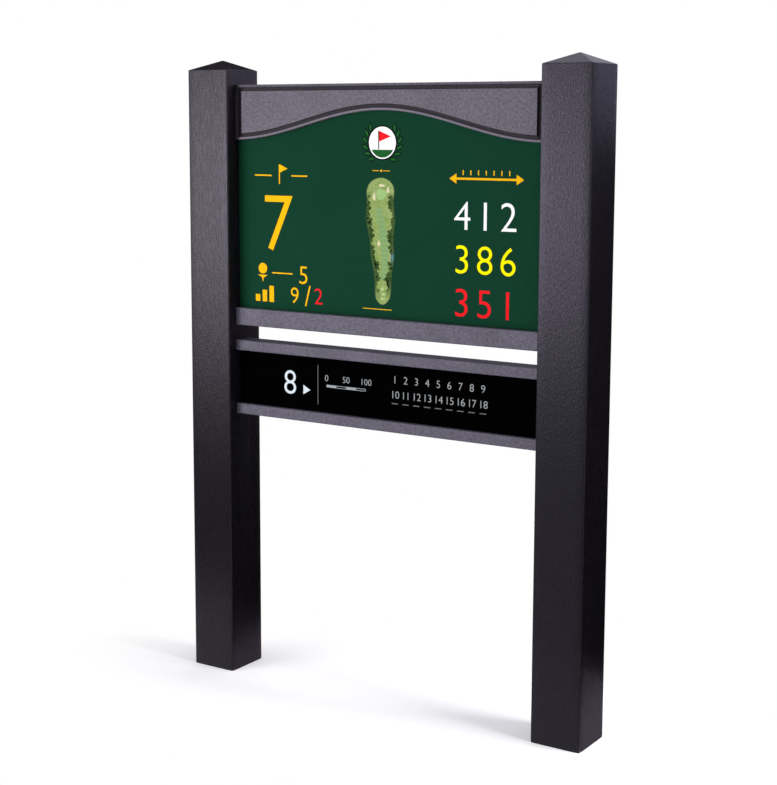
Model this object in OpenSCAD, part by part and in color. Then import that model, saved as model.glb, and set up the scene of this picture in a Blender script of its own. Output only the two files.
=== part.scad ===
// Golf tee sign: two square posts of recycled plastic lumber carry a shaped header board,
// three rails, a tall printed panel and a low printed panel.
// X runs along the sign, Y from its front to its back, Z up from the ground.

/* [Posts] */
// Width and depth of a square post
post_w = 100; // [90:5:140]
// Height of a post up to the shoulder of its weathered top
post_h = 1220; // [1160:10:1600]
// Height of the four-sided weathered top above the shoulder
post_top_h = 20; // [8:1:40]
// Radius of a post's four long arrises
post_arris_r = 3; // [1:0.5:6]
// Clear distance between the two posts
clear_span = 688; // [560:4:900]

/* [Members between the posts] */
// Thickness of the header board and the rails, front to back
member_t = 40; // [38:1:50]
// How far the members' front lies behind the posts' front
front_recess = 22; // [12:1:36]
// Height of the rail under the main panel
main_rail_h = 35; // [30:1:50]
// Height of each of the two rails that hold the lower panel
slim_rail_h = 21; // [20:1:30]
// Open gap between the main rail and the rail under it
rail_gap = 30; // [10:1:80]
// Radius of a rail's long arrises
rail_arris_r = 2; // [0.5:0.5:3]

/* [Header board] */
// How far the header's top lies below the posts' shoulders
header_drop = 29; // [10:1:60]
// Height of the header board at its ends
header_end_h = 107; // [104:1:140]
// Rise of the arched lower edge from the ends to the middle
arch_rise = 57; // [20:1:57]
// Width of the bead that runs round the header's edges
header_bead_w = 5.5; // [4:0.5:7]
// Width of the quirk, the groove beside the bead
quirk_w = 6.5; // [4:0.5:8]
// Depth of the quirk
quirk_depth = 4; // [2:0.5:6]
// Distance from a post's inner face to the header's raised field
field_margin = 17; // [16:1:40]

/* [Panels] */
// Visible height of the main panel at the posts
main_view_h = 333; // [240:1:420]
// Visible height of the lower panel
lower_view_h = 108; // [80:1:160]
// Thickness of the members' front lip, which stands before a panel
front_lip_t = 10.5; // [8:0.5:11]
// Height of the rebate behind a lip, which takes a panel's edge
rebate_h = 6; // [5.5:0.5:7]
// Thickness of the printed face sheet
face_t = 3; // [2:0.5:4]
// Thickness of the backing board
backing_t = 10; // [8:1:11]
// Gap between a panel's edge and the member or post beside it
panel_gap = 1; // [0.5:0.1:1]

/* [Seals and retaining strips] */
// Thickness of the foam sealing tape between a lip and the face sheet
seal_t = 1.5; // [1:0.5:2]
// Width of the sealing tape
seal_w = 4; // [3:0.5:4]
// Width of a retaining strip behind a panel
strip_w = 15; // [14:1:20]
// Screws through each long retaining strip
long_strip_screws = 5; // [3:1:7]
// Screws through each upright strip of the main panel
main_side_screws = 3; // [2:1:4]
// Distance from a strip's end to its first screw
strip_screw_end = 40; // [30:1:60]

/* [Joints and screws] */
// Length of the tenons in the posts
tenon_len = 30; // [20:1:40]
// Shoulder above and below a tenon
tenon_shoulder = 2; // [1.5:0.5:3]
// Clearance round a tenon in its mortise
tenon_clearance = 0.3; // [0.2:0.1:0.6]
// Shank diameter of a tenon screw
tenon_screw_d = 5; // [4:0.5:5]
// Head diameter of a tenon screw
tenon_screw_head_d = 10; // [9:0.5:11]
// Solid plastic left in a tenon before the screw's point
screw_point_cover = 5; // [4:1:10]
// Shank diameter of a strip screw
strip_screw_d = 3.5; // [3:0.5:4]
// Head diameter of a strip screw
strip_screw_head_d = 7; // [6.5:0.5:8]
// Length of a strip screw
strip_screw_len = 25; // [22:1:26]
// Clearance round a screw in its hole
screw_clearance = 0.15; // [0.1:0.05:0.25]

/* [Hidden] */

$fn = 48;
// Overrun of a cut past the face that it opens
cut = 1;

// Depths, front to back
front_y = -post_w / 2 + front_recess;
back_y = front_y + member_t;
lip_y = front_y + front_lip_t;
face_y = lip_y + seal_t;
backing_y = face_y + face_t;
strip_y = backing_y + backing_t;
strip_t = back_y - strip_y;
strip_mid_y = strip_y + strip_t / 2;

// Heights, from the header's top down
header_top = post_h - header_drop;
arch_foot = header_top - header_end_h;
main_rail_top = arch_foot - main_view_h;
main_rail_low = main_rail_top - main_rail_h;
top_rail_top = main_rail_low - rail_gap;
top_rail_low = top_rail_top - slim_rail_h;
low_rail_top = top_rail_low - lower_view_h;
low_rail_low = low_rail_top - slim_rail_h;

// Ledges of the rebates: the seats of the panels' edges and of the long strips
header_ledge = arch_foot + arch_rise + rebate_h;
main_rail_ledge = main_rail_top - rebate_h;
top_rail_ledge = top_rail_low + rebate_h;
low_rail_ledge = low_rail_top - rebate_h;

// Each member's rear part, which carries its tenons: [lower height, upper height]
header_rear = [header_ledge, header_top];
main_rail_rear = [main_rail_low, main_rail_ledge];
top_rail_rear = [top_rail_ledge, top_rail_top];
low_rail_rear = [low_rail_low, low_rail_ledge];

// Tenons, front to back
tenon_y0 = lip_y;
tenon_y1 = back_y - tenon_shoulder;
tenon_screw_x = clear_span / 2 + tenon_len / 2;
tenon_screw_len = post_w / 2 - tenon_y0 - screw_point_cover;

// Strips
long_strip_len = clear_span - 2 * panel_gap;
strip_screw_reach = strip_screw_len - strip_w;

// Height of the arched lower edge at x, moved inwards by inset along its normal
arch_segments = 56;
function arch_z(x) = arch_foot + arch_rise / 2 * (1 + cos(360 * x / clear_span));
function arch_slope(x) = -arch_rise / 2 * sin(360 * x / clear_span) * 2 * PI / clear_span;
function arch_point(x, inset) =
    let (m = arch_slope(x), n = sqrt(1 + m * m))
    [x - inset * m / n, arch_z(x) + inset / n];
// Points of the arched edge from -half to +half
function arch_edge(half, inset) =
    [for (i = [0:arch_segments]) arch_point(-half + 2 * half * i / arch_segments, inset)];
// A closed outline under the header's top edge, drawn in by inset, and by margin at the ends
function header_outline(inset, margin) =
    let (half = clear_span / 2 - margin, top = header_top - inset)
    concat([[half, top], [-half, top]],
        [for (p = arch_edge(half, inset)) [max(-half, min(half, p[0])), p[1]]]);

function spread(count, length, end) =
    [for (i = [0:count - 1]) -length / 2 + end + i * (length - 2 * end) / (count - 1)];

// Two screws stand over each other in a tall tenon, one in a slim one
function tenon_screw_heights(rear, pair) =
    let (mid = (rear[0] + rear[1]) / 2, step = (rear[1] - rear[0]) / 4)
    pair ? [mid - step, mid + step] : [mid];

// Building shapes

module rounded_rectangle(w, d, r) {
    square([w - 2 * r, d], center = true);
    square([w, d - 2 * r], center = true);
    for (sx = [-1, 1], sy = [-1, 1]) {
        translate([sx * (w / 2 - r), sy * (d / 2 - r)]) circle(r);
    }
}

// A bar along X whose section is drawn as [front to back, height]
module bar_along_x(length) {
    rotate([90, 0, 90]) linear_extrude(length, center = true) children();
}

// A plate whose outline is drawn as [along, height], from y0 to y1
module plate(y0, y1) {
    translate([0, y1, 0]) rotate([90, 0, 0]) linear_extrude(y1 - y0) children();
}

module both_ends() {
    children();
    mirror([1, 0, 0]) children();
}

// A countersunk screw along +Z, its head flush at z = 0 and its point down; gap widens it into its hole
module countersunk_screw(d, head_d, length, gap = 0) {
    r = d / 2 + gap;
    head_r = head_d / 2 + gap;
    point = d / 2;
    rotate_extrude() polygon([
        [0, 0], [head_r, 0], [r, r - head_r],
        [r, point - length - gap], [0, -length - gap]
    ]);
}

module screw(d, head_d, length) {
    socket_r = head_d * 0.24;
    socket_depth = head_d * 0.2;
    difference() {
        countersunk_screw(d, head_d, length);
        translate([0, 0, -socket_depth]) cylinder(r = socket_r, h = socket_depth + cut, $fn = 6);
    }
}

module screw_hole(d, head_d, length) {
    countersunk_screw(d, head_d, length, screw_clearance);
    translate([0, 0, -screw_clearance]) cylinder(r = head_d / 2 + screw_clearance, h = cut);
}

// Places of the screws: each turns a screw that points down into its own direction

module at_tenon_screws(rear, pair) {
    for (z = tenon_screw_heights(rear, pair)) {
        both_ends() translate([tenon_screw_x, post_w / 2, z]) rotate([-90, 0, 0]) children();
    }
}

// A strip that hangs under a ledge is screwed upwards, and one that stands on a ledge downwards
module at_long_strip_screws(ledge, hangs) {
    for (x = spread(long_strip_screws, long_strip_len, strip_screw_end)) {
        translate([x, strip_mid_y, ledge + (hangs ? -strip_w : strip_w)])
            rotate([hangs ? 180 : 0, 0, 0]) children();
    }
}

module at_side_strip_screws(low_ledge, high_ledge, count) {
    length = high_ledge - low_ledge - 2 * strip_w;
    mid = (high_ledge + low_ledge) / 2;
    heights = count > 1 ? spread(count, length, strip_screw_end) : [0];
    for (h = heights) {
        both_ends() translate([clear_span / 2 - strip_w, strip_mid_y, mid + h])
            rotate([0, -90, 0]) children();
    }
}

module tenon_screw() {
    screw(tenon_screw_d, tenon_screw_head_d, tenon_screw_len);
}

module tenon_screw_hole() {
    screw_hole(tenon_screw_d, tenon_screw_head_d, tenon_screw_len);
}

module strip_screw() {
    screw(strip_screw_d, strip_screw_head_d, strip_screw_len);
}

module strip_screw_hole() {
    screw_hole(strip_screw_d, strip_screw_head_d, strip_screw_len);
}

// Tenons at both ends of a member, and the mortises that take them

module tenons(rear) {
    both_ends() translate([clear_span / 2 - cut, tenon_y0, rear[0] + tenon_shoulder])
        cube([tenon_len + cut, tenon_y1 - tenon_y0, rear[1] - rear[0] - 2 * tenon_shoulder]);
}

module mortise(rear) {
    c = tenon_clearance;
    translate([clear_span / 2 - cut, tenon_y0 - c, rear[0] + tenon_shoulder - c])
        cube([tenon_len + c + cut, tenon_y1 - tenon_y0 + 2 * c,
            rear[1] - rear[0] - 2 * tenon_shoulder + 2 * c]);
}

// Posts

// The right-hand post; the left-hand one is its mirror image
module post() {
    color("#3b3940") difference() {
        translate([clear_span / 2 + post_w / 2, 0, 0]) weathered_column();
        mortise(header_rear);
        mortise(main_rail_rear);
        mortise(top_rail_rear);
        mortise(low_rail_rear);
        at_tenon_screws(header_rear, true) tenon_screw_hole();
        at_tenon_screws(main_rail_rear, true) tenon_screw_hole();
        at_tenon_screws(top_rail_rear, false) tenon_screw_hole();
        at_tenon_screws(low_rail_rear, false) tenon_screw_hole();
        at_side_strip_screws(main_rail_ledge, header_ledge, main_side_screws) strip_screw_hole();
        at_side_strip_screws(low_rail_ledge, top_rail_ledge, 1) strip_screw_hole();
    }
}

// A square column whose top falls to all four sides
module weathered_column() {
    roof = [
        [-post_w, -cut], [post_w, -cut], [post_w, post_h - post_top_h],
        [0, post_h + post_top_h], [-post_w, post_h - post_top_h]
    ];
    intersection() {
        linear_extrude(post_h + post_top_h) rounded_rectangle(post_w, post_w, post_arris_r);
        rotate([90, 0, 0]) linear_extrude(2 * post_w, center = true) polygon(roof);
        bar_along_x(2 * post_w) polygon(roof);
    }
}

module left_post() {
    mirror([1, 0, 0]) post();
}

module right_post() {
    post();
}

// Header board

module header_board() {
    color("#46434b") difference() {
        union() {
            plate(front_y, back_y) polygon(header_outline(0, 0));
            tenons(header_rear);
        }
        // rebate for the main panel and its top strip
        translate([-clear_span / 2 - cut, lip_y, arch_foot - cut])
            cube([clear_span + 2 * cut, member_t, header_ledge - arch_foot + cut]);
        // quirk between the bead and the field
        plate(front_y - cut, front_y + quirk_depth) difference() {
            polygon(header_outline(header_bead_w, field_margin - quirk_w));
            polygon(header_outline(header_bead_w + quirk_w, field_margin));
        }
        at_tenon_screws(header_rear, true) tenon_screw_hole();
        at_long_strip_screws(header_ledge, true) strip_screw_hole();
    }
}

// Rails

// The section of a rail between two heights, with its rebate at the top or at the bottom
module rail_section(low, high, rebate_at_top) {
    difference() {
        translate([front_y + member_t / 2, (low + high) / 2])
            rounded_rectangle(member_t, high - low, rail_arris_r);
        translate([lip_y, rebate_at_top ? high - rebate_h : low - cut])
            square([member_t, rebate_h + cut]);
    }
}

module rail(low, high, rear, rebate_at_top) {
    bar_along_x(clear_span) rail_section(low, high, rebate_at_top);
    tenons(rear);
}

module main_rail() {
    color("#3f3d45") difference() {
        rail(main_rail_low, main_rail_top, main_rail_rear, true);
        at_tenon_screws(main_rail_rear, true) tenon_screw_hole();
        at_long_strip_screws(main_rail_ledge, false) strip_screw_hole();
    }
}

module lower_panel_top_rail() {
    color("#3f3d45") difference() {
        rail(top_rail_low, top_rail_top, top_rail_rear, false);
        at_tenon_screws(top_rail_rear, false) tenon_screw_hole();
        at_long_strip_screws(top_rail_ledge, true) strip_screw_hole();
    }
}

module lower_panel_bottom_rail() {
    color("#3f3d45") difference() {
        rail(low_rail_low, low_rail_top, low_rail_rear, true);
        at_tenon_screws(low_rail_rear, false) tenon_screw_hole();
        at_long_strip_screws(low_rail_ledge, false) strip_screw_hole();
    }
}

// Panels

// A sheet between two ledges, clear of them and of the posts by the panel gap
module sheet(y0, thickness, low_ledge, high_ledge) {
    translate([-clear_span / 2 + panel_gap, y0, low_ledge + panel_gap])
        cube([clear_span - 2 * panel_gap, thickness, high_ledge - low_ledge - 2 * panel_gap]);
}

module main_panel_face() {
    color("#153e2c") sheet(face_y, face_t, main_rail_ledge, header_ledge);
}

module main_panel_backing() {
    color("#2b2b2d") sheet(backing_y, backing_t, main_rail_ledge, header_ledge);
}

module lower_panel_face() {
    color("#0a0a0b") sheet(face_y, face_t, low_rail_ledge, top_rail_ledge);
}

module lower_panel_backing() {
    color("#2b2b2d") sheet(backing_y, backing_t, low_rail_ledge, top_rail_ledge);
}

// Foam tape behind a rail's lip, from the panel's edge
module rail_seal(low) {
    translate([-clear_span / 2 + panel_gap, lip_y, low])
        cube([clear_span - 2 * panel_gap, seal_t, seal_w]);
}

// Foam tape behind the header's lip, along its arched edge
module header_seal() {
    half = clear_span / 2 - panel_gap;
    plate(lip_y, face_y) polygon(concat(
        [for (p = arch_edge(half, 0)) [p[0], p[1] + panel_gap]],
        [for (i = [arch_segments:-1:0]) arch_edge(half, 0)[i] + [0, panel_gap + seal_w]]
    ));
}

module main_panel_seals() {
    color("#1c1c1e") {
        rail_seal(main_rail_ledge + panel_gap);
        header_seal();
    }
}

module lower_panel_seals() {
    color("#1c1c1e") {
        rail_seal(low_rail_ledge + panel_gap);
        rail_seal(top_rail_ledge - panel_gap - seal_w);
    }
}

// Retaining strips

module long_strip(ledge, hangs) {
    color("#37353c") difference() {
        translate([-long_strip_len / 2, strip_y, hangs ? ledge - strip_w : ledge])
            cube([long_strip_len, strip_t, strip_w]);
        at_long_strip_screws(ledge, hangs) strip_screw_hole();
    }
}

// The right-hand upright strip between two long ones
module side_strip(low_ledge, high_ledge, count) {
    color("#37353c") difference() {
        translate([clear_span / 2 - strip_w, strip_y, low_ledge + strip_w])
            cube([strip_w, strip_t, high_ledge - low_ledge - 2 * strip_w]);
        at_side_strip_screws(low_ledge, high_ledge, count) strip_screw_hole();
    }
}

module main_panel_top_strip() {
    long_strip(header_ledge, true);
}

module main_panel_bottom_strip() {
    long_strip(main_rail_ledge, false);
}

module main_panel_left_strip() {
    mirror([1, 0, 0]) side_strip(main_rail_ledge, header_ledge, main_side_screws);
}

module main_panel_right_strip() {
    side_strip(main_rail_ledge, header_ledge, main_side_screws);
}

module lower_panel_top_strip() {
    long_strip(top_rail_ledge, true);
}

module lower_panel_bottom_strip() {
    long_strip(low_rail_ledge, false);
}

module lower_panel_left_strip() {
    mirror([1, 0, 0]) side_strip(low_rail_ledge, top_rail_ledge, 1);
}

module lower_panel_right_strip() {
    side_strip(low_rail_ledge, top_rail_ledge, 1);
}

// Screws

module header_tenon_screws() {
    color("#b9bcc0") at_tenon_screws(header_rear, true) tenon_screw();
}

module main_rail_tenon_screws() {
    color("#b9bcc0") at_tenon_screws(main_rail_rear, true) tenon_screw();
}

module slim_rail_tenon_screws() {
    color("#b9bcc0") {
        at_tenon_screws(top_rail_rear, false) tenon_screw();
        at_tenon_screws(low_rail_rear, false) tenon_screw();
    }
}

module main_panel_strip_screws() {
    color("#b9bcc0") {
        at_long_strip_screws(header_ledge, true) strip_screw();
        at_long_strip_screws(main_rail_ledge, false) strip_screw();
        at_side_strip_screws(main_rail_ledge, header_ledge, main_side_screws) strip_screw();
    }
}

module lower_panel_strip_screws() {
    color("#b9bcc0") {
        at_long_strip_screws(top_rail_ledge, true) strip_screw();
        at_long_strip_screws(low_rail_ledge, false) strip_screw();
        at_side_strip_screws(low_rail_ledge, top_rail_ledge, 1) strip_screw();
    }
}

left_post();
right_post();
header_board();
main_rail();
lower_panel_top_rail();
lower_panel_bottom_rail();
main_panel_face();
main_panel_backing();
main_panel_seals();
lower_panel_face();
lower_panel_backing();
lower_panel_seals();
main_panel_top_strip();
main_panel_bottom_strip();
main_panel_left_strip();
main_panel_right_strip();
lower_panel_top_strip();
lower_panel_bottom_strip();
lower_panel_left_strip();
lower_panel_right_strip();
header_tenon_screws();
main_rail_tenon_screws();
slim_rail_tenon_screws();
main_panel_strip_screws();
lower_panel_strip_screws();
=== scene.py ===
"""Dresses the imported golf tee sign: posts, arched header, rails, printed panels and their fixings.

X runs along the sign, Y from its front to its back and Z up, in metres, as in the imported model.
Sizes in the classes are in millimetres and are turned to metres where a mesh is made.
"""
import logging
import math
from dataclasses import dataclass, field
from enum import Enum
from typing import Callable, Sequence

import bmesh
import bpy
from mathutils import Euler, Matrix, Quaternion, Vector


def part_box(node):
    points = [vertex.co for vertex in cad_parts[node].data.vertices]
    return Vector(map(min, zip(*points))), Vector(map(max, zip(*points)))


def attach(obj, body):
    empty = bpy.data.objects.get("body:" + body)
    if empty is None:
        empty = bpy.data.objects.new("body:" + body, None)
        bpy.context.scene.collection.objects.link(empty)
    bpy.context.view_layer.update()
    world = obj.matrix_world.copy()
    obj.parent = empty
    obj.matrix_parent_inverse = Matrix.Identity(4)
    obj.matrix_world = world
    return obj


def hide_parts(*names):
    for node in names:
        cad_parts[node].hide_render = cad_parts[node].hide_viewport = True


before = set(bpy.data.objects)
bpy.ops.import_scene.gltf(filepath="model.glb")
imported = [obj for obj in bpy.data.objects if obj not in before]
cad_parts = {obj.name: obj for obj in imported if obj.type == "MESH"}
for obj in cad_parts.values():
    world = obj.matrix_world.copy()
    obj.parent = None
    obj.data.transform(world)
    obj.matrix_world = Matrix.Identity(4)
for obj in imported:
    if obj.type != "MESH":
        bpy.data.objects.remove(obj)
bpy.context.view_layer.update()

LOG = logging.getLogger("tee_sign")
MM = 0.001
BODY = "root"
Point2 = tuple[float, float]
Point3 = tuple[float, float, float]


def linear(hex_colour: str) -> tuple[float, float, float, float]:
    """Turns an sRGB hex colour into the linear colour that Blender's sockets take.

    Args:
        hex_colour: A colour such as "#153E2C".

    Returns:
        Linear red, green, blue and an alpha of 1.
    """
    parts = [int(hex_colour[i:i + 2], 16) / 255 for i in (1, 3, 5)]
    values = [c / 12.92 if c <= 0.04045 else ((c + 0.055) / 1.055) ** 2.4 for c in parts]
    return (values[0], values[1], values[2], 1.0)


def add_node(tree: bpy.types.NodeTree, kind: str, inputs: dict | None = None, **settings) -> bpy.types.Node:
    """Adds a node with its settings and links.

    Args:
        tree: The shader or geometry tree.
        kind: The node's type, such as "ShaderNodeTexNoise".
        inputs: Input names or numbers, each with a value or with the output socket that feeds it.
        **settings: The node's own properties.

    Returns:
        The new node.
    """
    node = tree.nodes.new(kind)
    for key, value in settings.items():
        setattr(node, key, value)
    for key, value in (inputs or {}).items():
        if isinstance(value, bpy.types.NodeSocket):
            tree.links.new(value, node.inputs[key])
        else:
            node.inputs[key].default_value = value
    return node


def math_node(tree: bpy.types.NodeTree, operation: str, *values) -> bpy.types.NodeSocket:
    """Adds a Math node on its values and gives its output."""
    return add_node(tree, "ShaderNodeMath", dict(enumerate(values)), operation=operation).outputs[0]


def mix_colours(tree: bpy.types.NodeTree, share, first, second) -> bpy.types.NodeSocket:
    """Adds a colour Mix node and gives its output."""
    return add_node(tree, "ShaderNodeMix", {0: share, 6: first, 7: second}, data_type="RGBA").outputs[2]


def new_object(name: str, mesh: bpy.types.Mesh) -> bpy.types.Object:
    """Puts a mesh into the scene as an object at the origin."""
    obj = bpy.data.objects.new(name, mesh)
    bpy.context.scene.collection.objects.link(obj)
    return obj


def mesh_of(bm: bmesh.types.BMesh, name: str) -> bpy.types.Mesh:
    """Turns a bmesh in millimetres into a mesh in metres, with its faces pointing outwards."""
    bmesh.ops.recalc_face_normals(bm, faces=bm.faces)
    bmesh.ops.scale(bm, vec=(MM, MM, MM), verts=bm.verts)
    mesh = bpy.data.meshes.new(name)
    bm.to_mesh(mesh)
    bm.free()
    return mesh


def settled(obj: bpy.types.Object) -> bpy.types.Object:
    """Turns an object's evaluated result into its own plain mesh and removes its modifiers."""
    depsgraph = bpy.context.evaluated_depsgraph_get()
    mesh = bpy.data.meshes.new_from_object(obj.evaluated_get(depsgraph), preserve_all_data_layers=True, depsgraph=depsgraph)
    obj.modifiers.clear()
    obj.data = mesh
    return obj


def smooth_by_angle(mesh: bpy.types.Mesh, degrees: float) -> None:
    """Shades a mesh smooth, with sharp edges where its faces meet at more than an angle."""
    for polygon in mesh.polygons:
        polygon.use_smooth = True
    mesh.set_sharp_from_angle(angle=math.radians(degrees))


def hand_over(obj: bpy.types.Object, slot: str, *nodes: str) -> None:
    """Parents a finished piece to the body's empty, hides the nodes that it stands for, and logs it with its slot.

    Args:
        obj: The finished piece.
        slot: The record's material slot.
        *nodes: The CAD nodes that it replaces.
    """
    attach(obj, BODY)
    if nodes:
        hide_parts(*nodes)
    LOG.info("%s: %d faces, slot %s, for %s", obj.name, len(obj.data.polygons), slot, ", ".join(nodes) or "no node")


# Finishes


@dataclass(frozen=True)
class Finish:
    """What every finish shares: a material with one Principled shader.

    Attributes:
        name: The material's name, which says what the real one is.
    """

    name: str

    def start(self, **constants: float | Sequence[float]) -> tuple[
            bpy.types.Material, bpy.types.NodeTree, bpy.types.Node, bpy.types.NodeSocket]:
        """Makes the material, with constants set on the shader's own sockets.

        Args:
            **constants: Shader sockets by name, with _ for a space.

        Returns:
            The material, its tree, its shader and the Object coordinates.
        """
        material = bpy.data.materials.new(self.name)
        material.use_nodes = True
        tree = material.node_tree
        shader = tree.nodes["Principled BSDF"]
        for key, value in constants.items():
            shader.inputs[key.replace("_", " ")].default_value = value
        return material, tree, shader, add_node(tree, "ShaderNodeTexCoord").outputs["Object"]

    def grain(self, tree: bpy.types.NodeTree, place: bpy.types.NodeSocket, cell: Point3, detail: float = 2.0,
              shift: Point3 = (0.0, 0.0, 0.0)) -> bpy.types.NodeSocket:
        """Adds noise whose cells have a real size.

        Args:
            tree: The material's tree.
            place: Object coordinates in metres.
            cell: The size of a cell along X, Y and Z, in millimetres.
            detail: How many finer octaves it has.
            shift: Where the pattern starts, so that two grains differ.

        Returns:
            The noise, about 0 to 1.
        """
        scale = tuple(1 / (size * MM) for size in cell)
        mapping = add_node(tree, "ShaderNodeMapping", {"Vector": place, "Scale": scale, "Location": shift})
        noise = add_node(tree, "ShaderNodeTexNoise", {
            "Vector": mapping.outputs[0], "Scale": 1.0, "Detail": detail, "Roughness": 0.55})
        return noise.outputs[0]

    def spread(self, tree: bpy.types.NodeTree, value: bpy.types.NodeSocket, low: float, high: float,
               start: float = 0.3, stop: float = 0.7) -> bpy.types.NodeSocket:
        """Maps a value between start and stop on to a range."""
        return add_node(tree, "ShaderNodeMapRange", {
            "Value": value, "From Min": start, "From Max": stop, "To Min": low, "To Max": high}).outputs[0]


@dataclass(frozen=True)
class RecycledPlastic(Finish):
    """Recycled polyethylene lumber: extruded, then brushed or stippled, charcoal right through.

    Attributes:
        dark: Colour in the grain's hollows.
        light: Colour on the grain's ridges.
        rough: Lowest and highest roughness.
        gloss: Specular level.
        cell: Size of the coarse grain along X, Y and Z, in millimetres.
        fine: Size of the fine grain, in millimetres.
        relief: Height of the coarse grain, in millimetres.
        fine_relief: Height of the fine grain, in millimetres.
        painted_shade_colour: Colour of painted shade, which shows where the attribute routed is 1: in the header's
            quirks and at its ends by the posts.
        painted_highlight: Colour of a painted highlight, which shows where the attribute crest is 1, along the front of
            the header's lower bead.
        tint: Tint of the gloss, from the pigment in the skin.
    """

    dark: str
    light: str
    rough: Point2
    gloss: float
    cell: Point3
    fine: Point3
    relief: float
    fine_relief: float
    # Colour of the painted shade in the header's quirks and at its ends
    painted_shade_colour: str = "#0A090C"
    # Colour of the painted highlight on the header's lower bead
    painted_highlight: str = "#6A6570"
    tint: str = "#F8EDFF"

    def build(self) -> bpy.types.Material:
        """Makes the material.

        Returns:
            The material.
        """
        material, tree, shader, place = self.start(Specular_IOR_Level=self.gloss, IOR=1.5, Specular_Tint=linear(self.tint))
        coarse = self.grain(tree, place, self.cell, 1.5)
        fine = self.grain(tree, place, self.fine, 2.0, (3.1, 7.7, 1.9))
        cloud = self.grain(tree, place, (70.0, 70.0, 110.0), 1.0, (9.3, 2.2, 5.1))
        blend = math_node(tree, "MULTIPLY_ADD", coarse, 0.65, math_node(tree, "MULTIPLY", fine, 0.35))
        tone = self.spread(tree, blend, 0.0, 1.0, 0.36, 0.64)
        base = mix_colours(tree, tone, linear(self.dark), linear(self.light))
        worn = add_node(tree, "ShaderNodeHueSaturation", {"Value": self.spread(tree, cloud, 0.9, 1.1), "Color": base})
        routed, crest = (add_node(tree, "ShaderNodeAttribute", attribute_name=name).outputs["Fac"] for name in ("routed", "crest"))
        # Painted highlight: the front of the header's lower bead is lightened where light catches it
        highlit = mix_colours(tree, crest, worn.outputs[0], linear(self.painted_highlight))
        # Painted shade: the header's quirks and ends are darkened towards the shade colour
        tree.links.new(mix_colours(tree, routed, highlit, linear(self.painted_shade_colour)), shader.inputs["Base Color"])
        skin = self.spread(tree, blend, self.rough[1], self.rough[0])
        # Where shade is painted, the plastic is also made rougher
        tree.links.new(math_node(tree, "MAXIMUM", skin, math_node(tree, "MULTIPLY", routed, 0.9)), shader.inputs["Roughness"])
        first = add_node(tree, "ShaderNodeBump", {"Strength": 1.0, "Distance": self.relief * MM, "Height": coarse})
        second = add_node(tree, "ShaderNodeBump", {
            "Strength": 1.0, "Distance": self.fine_relief * MM, "Height": fine, "Normal": first.outputs[0]})
        tree.links.new(second.outputs[0], shader.inputs["Normal"])
        return material


@dataclass(frozen=True)
class PrintedFilm(Finish):
    """Vinyl film, printed or cut, laid on a sheet or on another film.

    Attributes:
        colour: The film's colour.
        rough: Roughness of its matt lamination.
        gloss: Specular level.
        peel: Height of the orange peel, in millimetres.
    """

    colour: str
    rough: float = 0.6
    gloss: float = 0.02
    peel: float = 0.01

    def build(self) -> bpy.types.Material:
        """Makes the material.

        Returns:
            The material.
        """
        material, tree, shader, place = self.start(Specular_IOR_Level=self.gloss, IOR=1.46)
        cloud = self.grain(tree, place, (60.0, 60.0, 60.0), 2.0)
        peel = self.grain(tree, place, (1.8, 1.8, 1.8), 1.0, (4.4, 1.3, 8.2))
        tint = add_node(tree, "ShaderNodeHueSaturation", {"Value": self.spread(tree, cloud, 0.97, 1.03), "Color": linear(self.colour)})
        tree.links.new(tint.outputs[0], shader.inputs["Base Color"])
        tree.links.new(self.spread(tree, peel, self.rough - 0.05, self.rough + 0.05), shader.inputs["Roughness"])
        bump = add_node(tree, "ShaderNodeBump", {"Strength": 1.0, "Distance": self.peel * MM, "Height": peel})
        tree.links.new(bump.outputs[0], shader.inputs["Normal"])
        return material


@dataclass(frozen=True)
class PlanPrint(Finish):
    """The hole plan's print: rough, fairway, green, sand and tees by attributes, with mown stripes.

    Attributes:
        ground: The film's own green round the plan.
    """

    ground: str

    def build(self) -> bpy.types.Material:
        """Makes the material.

        Returns:
            The material.
        """
        material, tree, shader, place = self.start(Specular_IOR_Level=0.02, IOR=1.46)
        tufts = self.grain(tree, place, (3.0, 3.0, 3.0), 3.0)
        patches = self.grain(tree, place, (16.0, 16.0, 16.0), 2.0, (5.5, 3.3, 1.1))
        rough = mix_colours(tree, self.spread(tree, tufts, 0.0, 1.0, 0.35, 0.65), linear("#778F47"), linear("#93A766"))
        rough = mix_colours(tree, self.spread(tree, patches, 0.0, 0.5, 0.45, 0.7), rough, linear("#A3AF78"))
        height = add_node(tree, "ShaderNodeSeparateXYZ", {0: place}).outputs[2]
        mown = math_node(tree, "SINE", math_node(tree, "MULTIPLY", height, 2 * math.pi / (9.0 * MM)))
        fairway = mix_colours(tree, self.spread(tree, mown, 0.25, 0.75, -0.4, 0.4), linear("#799A64"), linear("#84A36C"))
        layers = (
            ("fairway", fairway), ("woods", linear("#2E4A1E")), ("pond", linear("#557D84")),
            ("green", linear("#97B976")), ("sand", linear("#D2CCA6")), ("tees", linear("#A6BE80")),
        )
        base = rough
        for name, colour in layers:
            mask = add_node(tree, "ShaderNodeAttribute", attribute_name=name).outputs["Fac"]
            base = mix_colours(tree, mask, base, colour)
        cover = add_node(tree, "ShaderNodeAttribute", attribute_name="cover").outputs["Fac"]
        base = mix_colours(tree, cover, linear(self.ground), base)
        tree.links.new(base, shader.inputs["Base Color"])
        tree.links.new(self.spread(tree, tufts, 0.55, 0.65), shader.inputs["Roughness"])
        return material


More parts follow.
